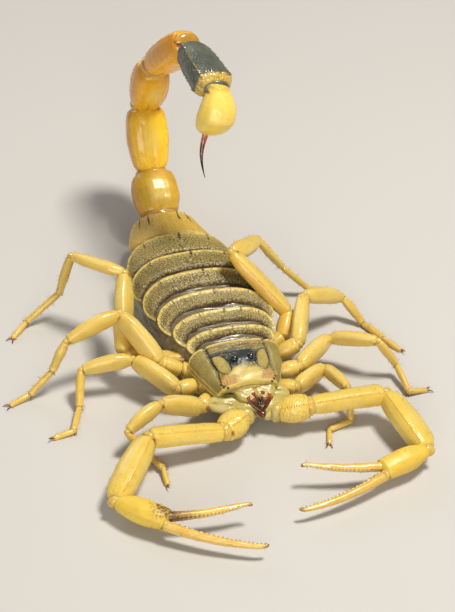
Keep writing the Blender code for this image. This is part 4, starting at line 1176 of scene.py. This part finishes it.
def plain_paint(t, angle):
    """Painted shade in a warmer orange along the underside."""
    return {"rim": 0.4 * stripe(angle, LOWER, 0.7) + 0.2}


PAINTS = (plain_paint, thigh_paint, knee_paint, plain_paint, plain_paint, plain_paint)


def build_leg(side_name, number):
    """One leg: hip, six parts, the skin at their joints, spurs and claws, and bristle roots."""
    hip, *steps, last_heading = LEG_POSE[side_name, number]
    (nodes, sides), directions = leg_chain(hip, steps, last_heading, LEG_LENGTHS[number])
    scale, label = LEG_SCALE[number], f"{side_name}_{number}"
    seed = number * 7 + (side_name == "left") * 50
    build_segment(f"leg_{label}_hip", nodes[0], nodes[1], sides[0],
                  [(0, 0.6 * scale, 0.7 * scale), (0.6, 1.15 * scale, 1.05 * scale),
                   (1, 0.95 * scale, 1.05 * scale)], (50, 40), 2.6,
                  ((0.7, 0.8, 0.15), (np.pi - 0.7, 0.8, 0.15), (LOWER - 0.5, 1.0, 0.12)), LEG,
                  height=0.06, seed=seed)
    for k, (part, solid, profile, size, power) in enumerate(LEG_PARTS, 1):
        sized = [(place, width * scale, height * scale) for place, width, height in profile]
        grid = build_segment(
            f"leg_{label}_{part}", nodes[k], nodes[k + 1], sides[k], sized, size, power,
            LEG_KEELS[k - 1], LEG, (solid.format(label),) if solid else (),
            bead=0.32, height=0.09 if number < 3 else 0.06, stipple=0.02, seed=seed + k,
            bow=(0.0, (0, 0.1, 0.22, 0.06, 0.04, 0.03)[k - 1]), paint=PAINTS[k - 1])
        plant(f"leg_{label}", grid, k, (10, 26, 24, 26, 30, 22)[k - 1],
              (0.3, 0.4, 0.4, 0.5, 0.55, 0.4)[k - 1], seed + 3 * k)
        if k < 6:
            width, height = sized[-1][1] * 0.78, sized[-1][2] * 0.78
            build_joint_skin(f"leg_{label}_joint_{k}", nodes[k + 1], directions[k],
                             directions[k + 1], width, height, sides[k])
    for k, length in ((4, 0.8), (5, 0.75)):
        top = np.cross(sides[k], directions[k])
        for turn in (-1, 1):
            root = nodes[k + 1] - 0.25 * directions[k] - 0.25 * scale * top
            out = unit(directions[k] + 0.35 * turn * sides[k] - 0.45 * top)
            build_spike(f"leg_{label}_spur_{k}_{(turn + 3) // 2}", root, out, sides[k], length,
                        0.10, 0.03, HORN)
    for turn in (-1, 1):
        root = nodes[7] - 0.18 * directions[6] + 0.10 * turn * sides[6]
        out = unit(directions[6] + 0.5 * turn * sides[6])
        build_spike(f"leg_{label}_claw_{(turn + 3) // 2}", root, out, sides[6], 1.05, 0.13, 0.16,
                    HORN)
    build_bristles(f"leg_{label}", BRISTLE)


for side_name, number in LEG_POSE:
    build_leg(side_name, number)
print("pieces after the legs:", len(PIECES))

# %% [markdown]
# ## Claw arms
# The arms are built like the legs but stouter: a round grainy knob, a boxy upper part, a swollen
# elbow part and the hand, each with rows of dark grains along its corners. The hand is a smooth
# barrel with fine lengthwise ridges. Its fixed finger grows from it, and the other finger hinges
# beside it. Dark teeth with pale dashes between them line the edges where the fingers meet.

# %% Arm data and materials
ARM = shell_material("arm", (0.78, 0.56, 0.105), (0.69, 0.47, 0.07), grain=(0.80, 0.56, 0.12),
                     pale=(0.78, 0.61, 0.17), rim=(0.82, 0.56, 0.10), dark=(0.30, 0.095, 0.010),
                     roughness=0.32, relief=0.18, see_in=0.25, coat=0.3, mottle_scale=330)
HAND = shell_material("hand", (0.78, 0.55, 0.070), (0.70, 0.46, 0.055), grain=(0.82, 0.60, 0.11),
                      pale=(0.82, 0.64, 0.16), rim=(0.80, 0.54, 0.06), dark=(0.15, 0.075, 0.016),
                      roughness=0.42, relief=0.15, see_in=0.28, coat=0.05, mottle_scale=280)
FINGER = shell_material("finger", (0.66, 0.40, 0.065), (0.76, 0.50, 0.10), grain=(0.80, 0.58, 0.2),
                        pale=(0.86, 0.74, 0.44), rim=(0.80, 0.55, 0.14), dark=(0.12, 0.045, 0.012),
                        roughness=0.3, relief=0.14, see_in=0.2, coat=0.25, mottle_scale=330)
ARM_LENGTHS = (4.2, 10.1, 10.2, 7.1, 10.0)
MOVABLE_LENGTH = 12.2
# base, then headings and rises of knob, upper part, elbow part, hand and fixed finger; the movable
ARM_POSE = {
    "right": ((-1.5, -11.6, 2.75), ((218, 5), (182, 8), (231, -12), (318, 1), (356, 3)), (331, -2)),
    "left": ((3.2, -11.7, 2.75), ((346, 13), (357, 2), (281, -8), (196, -1), (169, 5)), (194, -2))}
CORNER_ROWS = tuple((corner, 1.0, 0.10) for corner in (0.72, np.pi - 0.72, np.pi + 0.72, -0.72))
ELBOW_ROWS = CORNER_ROWS + ((UPPER, 0.5, 0.06), (0.05, 0.4, 0.06), (np.pi - 0.05, 0.4, 0.06))
ARM_PARTS = (
    ("knob", "trochanter", ((0, 1.3, 1.05), (0.35, 1.8, 1.6), (0.7, 1.75, 1.6), (1, 1.2, 1.2)),
     (80, 80), 2.2, CORNER_ROWS, 0.09, 0.12),
    ("upper", "femur", ((0, 0.92, 0.92), (0.1, 1.08, 1.03), (0.4, 1.17, 1.1), (0.8, 1.27, 1.15),
                        (0.93, 1.2, 1.1), (1, 0.92, 0.92)),
     (130, 84), 3.0, CORNER_ROWS, 0.13, 0.05),
    ("elbow", "patella", ((0, 0.92, 0.92), (0.12, 1.3, 1.25), (0.35, 1.6, 1.42), (0.65, 1.66, 1.46),
                          (0.9, 1.4, 1.25), (1, 0.92, 0.92)),
     (130, 88), 2.6, ELBOW_ROWS, 0.10, 0.04))
HAND_PROFILE = ((0, 0.7, 0.8), (0.14, 1.08, 1.1), (0.4, 1.50, 1.46), (0.7, 1.50, 1.42),
                (0.9, 1.38, 1.18), (1, 1.25, 0.95))


# %% Building the hands
def arm_paint(t, angle):
    """Painted highlight in the pale middles of the faces, painted shade warmer towards the rows."""
    faces = clamp(np.cos(2 * angle) ** 2)
    return {"pale": 0.45 * faces * np.sin(np.pi * t), "rim": 0.2 * (1 - faces)}


def hand_paint(dark_share):
    """Painter of a hand: pale ridge backs, and a brown patch where the fixed finger begins."""
    def paint(t, angle):
        """Masks at places along and round the hand."""
        ridge = 0.5 + 0.5 * np.cos(angle * 10)
        patch = bell(t - 0.88, 0.2) * stripe(angle, 0.72 * np.pi, 1.15)
        freckles = grains(t * 7, angle * 1.5, 0.35, 90)
        return {"pale": 0.25 * ridge * np.sin(np.pi * t),
                "dark": dark_share * patch * (0.28 + 0.45 * freckles)}
    return paint


def build_finger(name, start, direction, across, length, bow, inner, replaced, region, strip,
                 dark_patch=0.0):
    """Finger bowed like a slow arc: dark teeth and pale dashes in a row above its inner edge."""
    t, angle = tube_places(180, 36)
    stations = np.linspace(0, 1, 10)
    width = 0.60 - 0.08 * stations - 0.30 * stations ** 2
    profile = np.column_stack([stations, width, width * 1.08])
    lean = math.copysign(0.55, np.cross(across, direction)[2])
    row = inner + lean * math.cos(inner)
    inside = stripe(angle, row, 0.28)
    count = 12 * t * (1 + 0.25 * t)
    strength = 1.1 if replaced else 0.4
    teeth = np.abs(np.sin(np.pi * count * 1.5)) ** 4
    big = bell((count % 1) - 0.5, 0.16)
    hook = 0.3 * clamp((t - 0.88) / 0.12) ** 2
    lift = (inside * (0.03 + 0.06 * teeth + 0.08 * big) * clamp(t / 0.1)
            + 0.025 * ripples(np.stack([t * 8, np.cos(angle), np.sin(angle)], -1), 1.5, strip))
    grid = tube_grid(start, start + length * direction, across, profile, t, angle, 2.2, lift,
                     bow=(bow, 0.0), ends=0.03)
    grid += hook[..., None] * math.copysign(1.0, math.cos(inner)) * across
    along_row = inside * clamp((t - 0.08) / 0.06)
    # The root term darkens the finger's root, where the hand's brown patch runs on.
    colour = {"dark": clamp(along_row * (0.15 + strength * teeth) + 0.6 * bell(t - 1, 0.06)
                              + dark_patch * bell(t - 0.02, 0.34)),
              "pale": clamp(0.9 * stripe(angle, row - 0.4 * lean, 0.14) * (teeth < 0.4)
                              * (t > 0.2) + 0.15),
              "rim": 0.4 * stripe(angle, inner + np.pi, 0.6)}
    grid_piece(name, grid, FINGER, replaced, fields=colour)
    plant(region, grid, strip, 30, 0.4, strip * 5, 0.05, 0.95)


def build_arm(side_name):
    """One arm: hip, three parts, hand, two fingers, joint skins and bristle roots."""
    base, steps, movable_step = ARM_POSE[side_name]
    label = f"palp_{side_name}"
    root = np.array([0.35 * base[0], -6.4, 3.0])
    hip_length = np.linalg.norm(np.asarray(base) - root)
    directions = np.vstack([unit(np.asarray(base) - root), around(steps)])
    nodes, sides = chain(root, directions, (hip_length, *ARM_LENGTHS))
    seed = 200 + (side_name == "left") * 60
    build_segment(f"{label}_hip", nodes[0], nodes[1], sides[0],
                  [(0, 1.2, 0.9), (0.5, 2.3, 1.5), (0.85, 2.2, 1.5), (1, 1.7, 1.25)], (90, 80), 2.5,
                  CORNER_ROWS, FACE_SKIN, height=0.07, stipple=0.08, seed=seed)
    for k, (part, solid, profile, size, power, keels, height, stipple) in enumerate(ARM_PARTS, 1):
        grid = build_segment(f"{label}_{part}", nodes[k], nodes[k + 1], sides[k], profile, size,
                             power, keels, ARM, (f"{label}_{solid}",), bead=0.30,
                             height=height, stipple=stipple, seed=seed + k,
                             bow=(0.0, (0, 0.08, 0.12)[k - 1]), paint=arm_paint)
        plant(label, grid, k, (50, 40, 50)[k - 1], 0.42, seed + 3 * k)
        width, height = profile[-1][1], profile[-1][2]
        build_joint_skin(f"{label}_joint_{k}", nodes[k + 1], directions[k], directions[k + 1],
                         width * 0.92, height * 0.92, sides[k])
    build_joint_skin(f"{label}_joint_0", nodes[1], directions[0], directions[1], 1.45, 1.25,
                     sides[1], FACE_SKIN)
    hand, fixed, movable = directions[4], directions[5], around([movable_step])[0]
    outward = movable - fixed
    outward = unit(outward - hand * np.dot(outward, hand))
    ridges = tuple((where, 0.6, 0.10) for where in np.arange(10) * 0.2 * np.pi)
    grid = build_segment(f"{label}_hand", nodes[4], nodes[5] + 0.1 * hand, outward, HAND_PROFILE,
                         (130, 110), 2.2, ridges, HAND, (f"{label}_chela",),
                         bead=40.0, height=0.045, stipple=0.015, seed=seed + 5,
                         paint=hand_paint(2.0 if side_name == "right" else 0.0))
    plant(label, grid, 4, 40, 0.42, seed + 17)
    tip = nodes[5]
    fixed_across = unit(outward - fixed * np.dot(outward, fixed))
    build_finger(f"{label}_fixed_finger", tip - 0.7 * outward - 0.8 * fixed, fixed, fixed_across,
                 ARM_LENGTHS[4] + 0.8, 0.4, 0.0, (), label, 5 + (side_name == "left"),
                 0.75 if side_name == "right" else 0.0)
    movable_across = unit(outward - movable * np.dot(outward, movable))
    hinge = tip + 0.8 * outward + 0.4 * hand
    build_finger(f"{label}_movable_finger", hinge - 0.4 * movable, movable, movable_across,
                 MOVABLE_LENGTH + 0.4, 0.5, np.pi, (f"{label}_movable_finger",), label,
                 7 + (side_name == "left"))
    build_joint_skin(f"{label}_finger_joint", hinge - 0.25 * hand, hand, movable, 0.62, 0.72,
                     outward)
    build_bristles(label, BRISTLE)


for side_name in ARM_POSE:
    build_arm(side_name)
print("pieces after the arms:", len(PIECES))

# %% [markdown]
# ## The underside
# Below, ten hips meet at a small shield under the head. Behind them lie the two doors of the egg
# opening, the pair of combs that feel the ground, and five smooth belly plates, four with a pair of
# slit-shaped breathing holes. The belly plates are made like the back plates, by angle across and
# place along, and the combs are flat blades with a row of blunt teeth.

# %% Head floor, doors and belly plates
t, angle = tube_places(70, 72)
floor_profile = ((0, 2.2, 1.0), (0.25, 3.1, 1.2), (0.6, 4.1, 1.25), (1, 4.6, 1.2))
spine = stripe(angle, 1.5 * np.pi, 0.12)
grid = tube_grid((0, -9.2, 2.9), (0, 0.0, 2.9), (1, 0, 0), floor_profile, t, angle, 3.0,
                 -0.15 * spine * (t < 0.5) + 0.05 * grains(t * 9, angle * 3, 0.5, 91), ends=0.08)
grid_piece("head_floor", grid, BELLY, ("coxosternum",),
           fields={"dark": 0.6 * spine * (t < 0.5), "rim": 0.3 * bell(t - 0.5, 0.05)})
for side, label in ((-1, "right"), (1, "left")):
    start = np.array([side * 0.85, 0.6, 1.42])
    door = ((0, 0.5, 0.16), (0.4, 0.85, 0.22), (1, 0.5, 0.18))
    build_segment(f"belly_door_{label}", start, start + np.array([side * 0.2, 1.9, 0.0]), (1, 0, 0),
                  door, (40, 40), 2.3, (), BELLY, seed=96)


BELLY_STARTS = (4.4, 8.6, 12.8, 17.3, 22.2)
BELLY_LENGTHS = (4.1, 4.1, 4.4, 4.8, 7.0)
BELLY_REACH = (58, 58, 60, 62, 66)                      # half angle each plate spans, in degrees


def build_belly_plate(number):
    """One belly plate: trunk point from below, thick at its rear edge, with two slits."""
    start, length = BELLY_STARTS[number - 1], BELLY_LENGTHS[number - 1]
    across, down = np.meshgrid(np.linspace(-1, 1, 160), np.linspace(0, 1, 50))
    reach = math.radians(BELLY_REACH[number - 1])
    outline = np.maximum(1 - np.abs(across) ** 9, 0.0) ** 0.5 * 0.92 + 0.08
    y = start + length * (0.5 + (down - 0.5) * outline)
    angle = -np.pi / 2 + across * reach
    edge = np.minimum(1 - np.abs(across), (1 - down) * 1.4)
    slit = (bell((np.abs(across) - 0.55) / 0.10, 0.6) * bell((down - 0.55) / 0.07, 0.6)
            * (number < 5))
    grain = grains(across * 8, y, 0.4, number + 30) * (number > 3)
    keel = bell((np.abs(across) - 0.3) / 0.03, 0.8) * (number > 3)
    lift = (0.08 * down + 0.07 * bell(edge - 0.06, 0.04) - 0.35 * bell(edge, 0.03)
            - 0.30 * bell(down, 0.08) - 0.12 * slit + 0.04 * grain + 0.07 * keel)
    return grid_piece(f"belly_plate_{number}", trunk_point(y, angle, lift), BELLY,
                      wrap=False,
                      fields={"rim": bell(edge - 0.05, 0.05), "dark": slit, "grain": grain * 0.5})


for number in range(1, 6):
    build_belly_plate(number)

# %% Combs
COMB_LENGTH = 8.2
TEETH = 26
TOOTH_SIDES = 8
# distance out from the blade and radius of each ring of a tooth
TOOTH_RINGS = np.array([(0.0, 0.11), (0.35, 0.12), (0.7, 0.14), (0.85, 0.10), (0.9, 0.02)])
for side, label in ((-1, "right"), (1, "left")):
    start = np.array([side * 1.2, 2.6, 1.15])
    direction = around([(90 - side * 42, 0)])[0]
    blade = ((0, 0.8, 0.24), (0.3, 1.0, 0.26), (0.7, 0.8, 0.24), (1, 0.3, 0.2))
    build_segment(f"comb_{label}", start, start + COMB_LENGTH * direction, (1, 0, 0), blade,
                  (90, 40), 3.0, (), BELLY, (f"pectine_{label}",), seed=97)
    behind = np.cross((0.0, 0.0, 1.0), direction) * side
    s = np.linspace(0.10, 0.97, TEETH)
    reach = through(s, [0, 0.3, 0.7, 1], [0.65, 0.85, 0.7, 0.3])
    roots = start + s[:, None] * COMB_LENGTH * direction + reach[:, None] * behind
    turn = np.arange(TOOTH_SIDES) * 2 * np.pi / TOOTH_SIDES
    circle = np.cos(turn)[:, None] * direction + np.sin(turn)[:, None] * np.array([0.0, 0.0, 1.0])
    points = (roots[:, None, None] + TOOTH_RINGS[:, 0, None][None, :, :, None] * behind
              + TOOTH_RINGS[:, 1, None, None] * circle * side)
    k, j = np.meshgrid(np.arange(len(TOOTH_RINGS) - 1), np.arange(TOOTH_SIDES), indexing="ij")
    here, after = k * TOOTH_SIDES, (j + 1) % TOOTH_SIDES
    beyond = here + TOOTH_SIDES
    quads = np.stack([here + j, beyond + j, beyond + after, here + after], -1)
    tooth_points = len(TOOTH_RINGS) * TOOTH_SIDES
    base = np.arange(TEETH)[:, None, None] * tooth_points
    loops = (base + quads.reshape(1, -1, 4)).ravel()
    mesh = fill_mesh(f"comb_teeth_{label}", points.reshape(-1, 3), loops,
                     np.arange(len(loops) // 4) * 4, None,
                     {"pale": np.ones(TEETH * tooth_points) * 0.6})
    finish_piece(f"comb_teeth_{label}", mesh, BELLY, ())

# %% [markdown]
# ## Floor, light and camera
# A plain pale floor, one large soft lamp high on the animal's left, a weaker one on its right and a
# third behind it to draw the edges. The camera looks down at the head from the front.

# %% Floor and lamps
floor_mesh = bpy.data.meshes.new("floor")
FLOOR_REACH = 2.0              # from the middle to each edge, in metres
floor_mesh.from_pydata([(x * FLOOR_REACH, y * FLOOR_REACH, 0) for x, y in
                        ((-1, -1), (1, -1), (1, 1), (-1, 1))], [], [(0, 1, 2, 3)])
floor = bpy.data.objects.new("floor", floor_mesh)
bpy.context.scene.collection.objects.link(floor)
floor_material = bpy.data.materials.new("pale floor")
floor_material.use_nodes = True
floor_shader = floor_material.node_tree.nodes["Principled BSDF"]
floor_shader.inputs["Base Color"].default_value = (0.56, 0.535, 0.50, 1.0)
floor_shader.inputs["Roughness"].default_value = 0.75
floor_mesh.materials.append(floor_material)


def add_lamp(name, place, size, power, colour):
    """Square soft lamp at a place in metres, turned to face the middle of the animal."""
    light = bpy.data.lights.new(name, "AREA")
    light.size, light.energy, light.color = size, power, colour
    lamp = bpy.data.objects.new(name, light)
    aim = unit(np.array([0.0, 0.0, 0.01]) - place)
    right = unit(np.cross(aim, (0.0, 0.0, 1.0)))
    turn = np.stack([right, np.cross(right, aim), -aim], 1)
    lamp.matrix_world = Matrix.LocRotScale(place, Matrix(turn.tolist()).to_quaternion(), None)
    bpy.context.scene.collection.objects.link(lamp)


add_lamp("key lamp", (0.10, -0.03, 0.36), 0.08, 1.42, (1.0, 0.965, 0.90))
add_lamp("fill lamp", (-0.16, -0.42, 0.16), 0.30, 1.2, (1.0, 0.98, 0.95))
add_lamp("edge lamp", (-0.12, 0.42, 0.24), 0.25, 0.4, (1.0, 1.0, 1.0))
world = bpy.data.worlds.new("studio")
world.use_nodes = True
world.node_tree.nodes["Background"].inputs["Color"].default_value = (0.95, 0.97, 1.0, 1.0)
world.node_tree.nodes["Background"].inputs["Strength"].default_value = 0.19
bpy.context.scene.world = world
bpy.context.scene.view_settings.view_transform = "Standard"

# %% Camera
CAMERA_TURN, CAMERA_RISE, CAMERA_ROLL = (math.radians(angle) for angle in (-20, 38, 4))
CAMERA_AWAY = 260.0            # distance from the animal, in mm
FRAME_HEIGHT = 80.95           # height of the picture at that distance, in mm
FRAME_POINT = (-0.29, -9.01)   # where the anchor stands in the picture, right and up, in mm
SENSOR = 36.0
back = np.array([math.sin(CAMERA_TURN) * math.cos(CAMERA_RISE),
                 -math.cos(CAMERA_TURN) * math.cos(CAMERA_RISE), math.sin(CAMERA_RISE)])
level = np.array([math.cos(CAMERA_TURN), math.sin(CAMERA_TURN), 0.0])
upright = np.cross(back, level)
right = math.cos(CAMERA_ROLL) * level + math.sin(CAMERA_ROLL) * upright
upward = math.cos(CAMERA_ROLL) * upright - math.sin(CAMERA_ROLL) * level
place = ANCHOR + CAMERA_AWAY * back - FRAME_POINT[0] * right - FRAME_POINT[1] * upward
camera = bpy.data.objects.new("camera", bpy.data.cameras.new("camera"))
camera.data.sensor_width = SENSOR
camera.data.lens = CAMERA_AWAY * SENSOR / FRAME_HEIGHT
camera.data.clip_start = 0.005
turn = np.stack([right, upward, back], 1)
camera.matrix_world = Matrix.LocRotScale((place * MM).tolist(),
                                         Matrix(turn.tolist()).to_quaternion(), None)
bpy.context.scene.collection.objects.link(camera)
bpy.context.scene.camera = camera
print("camera at, mm:", place.round(1), "lens", round(camera.data.lens, 1))

# %% Sizes, and the end
depsgraph = bpy.context.evaluated_depsgraph_get()
shown = [piece.evaluated_get(depsgraph).to_mesh() for piece in PIECES]
triangles = [len(mesh.loops) - 2 * len(mesh.polygons) for mesh in shown]
print("pieces:", len(PIECES), "triangles:", sum(triangles), "largest piece:", max(triangles))
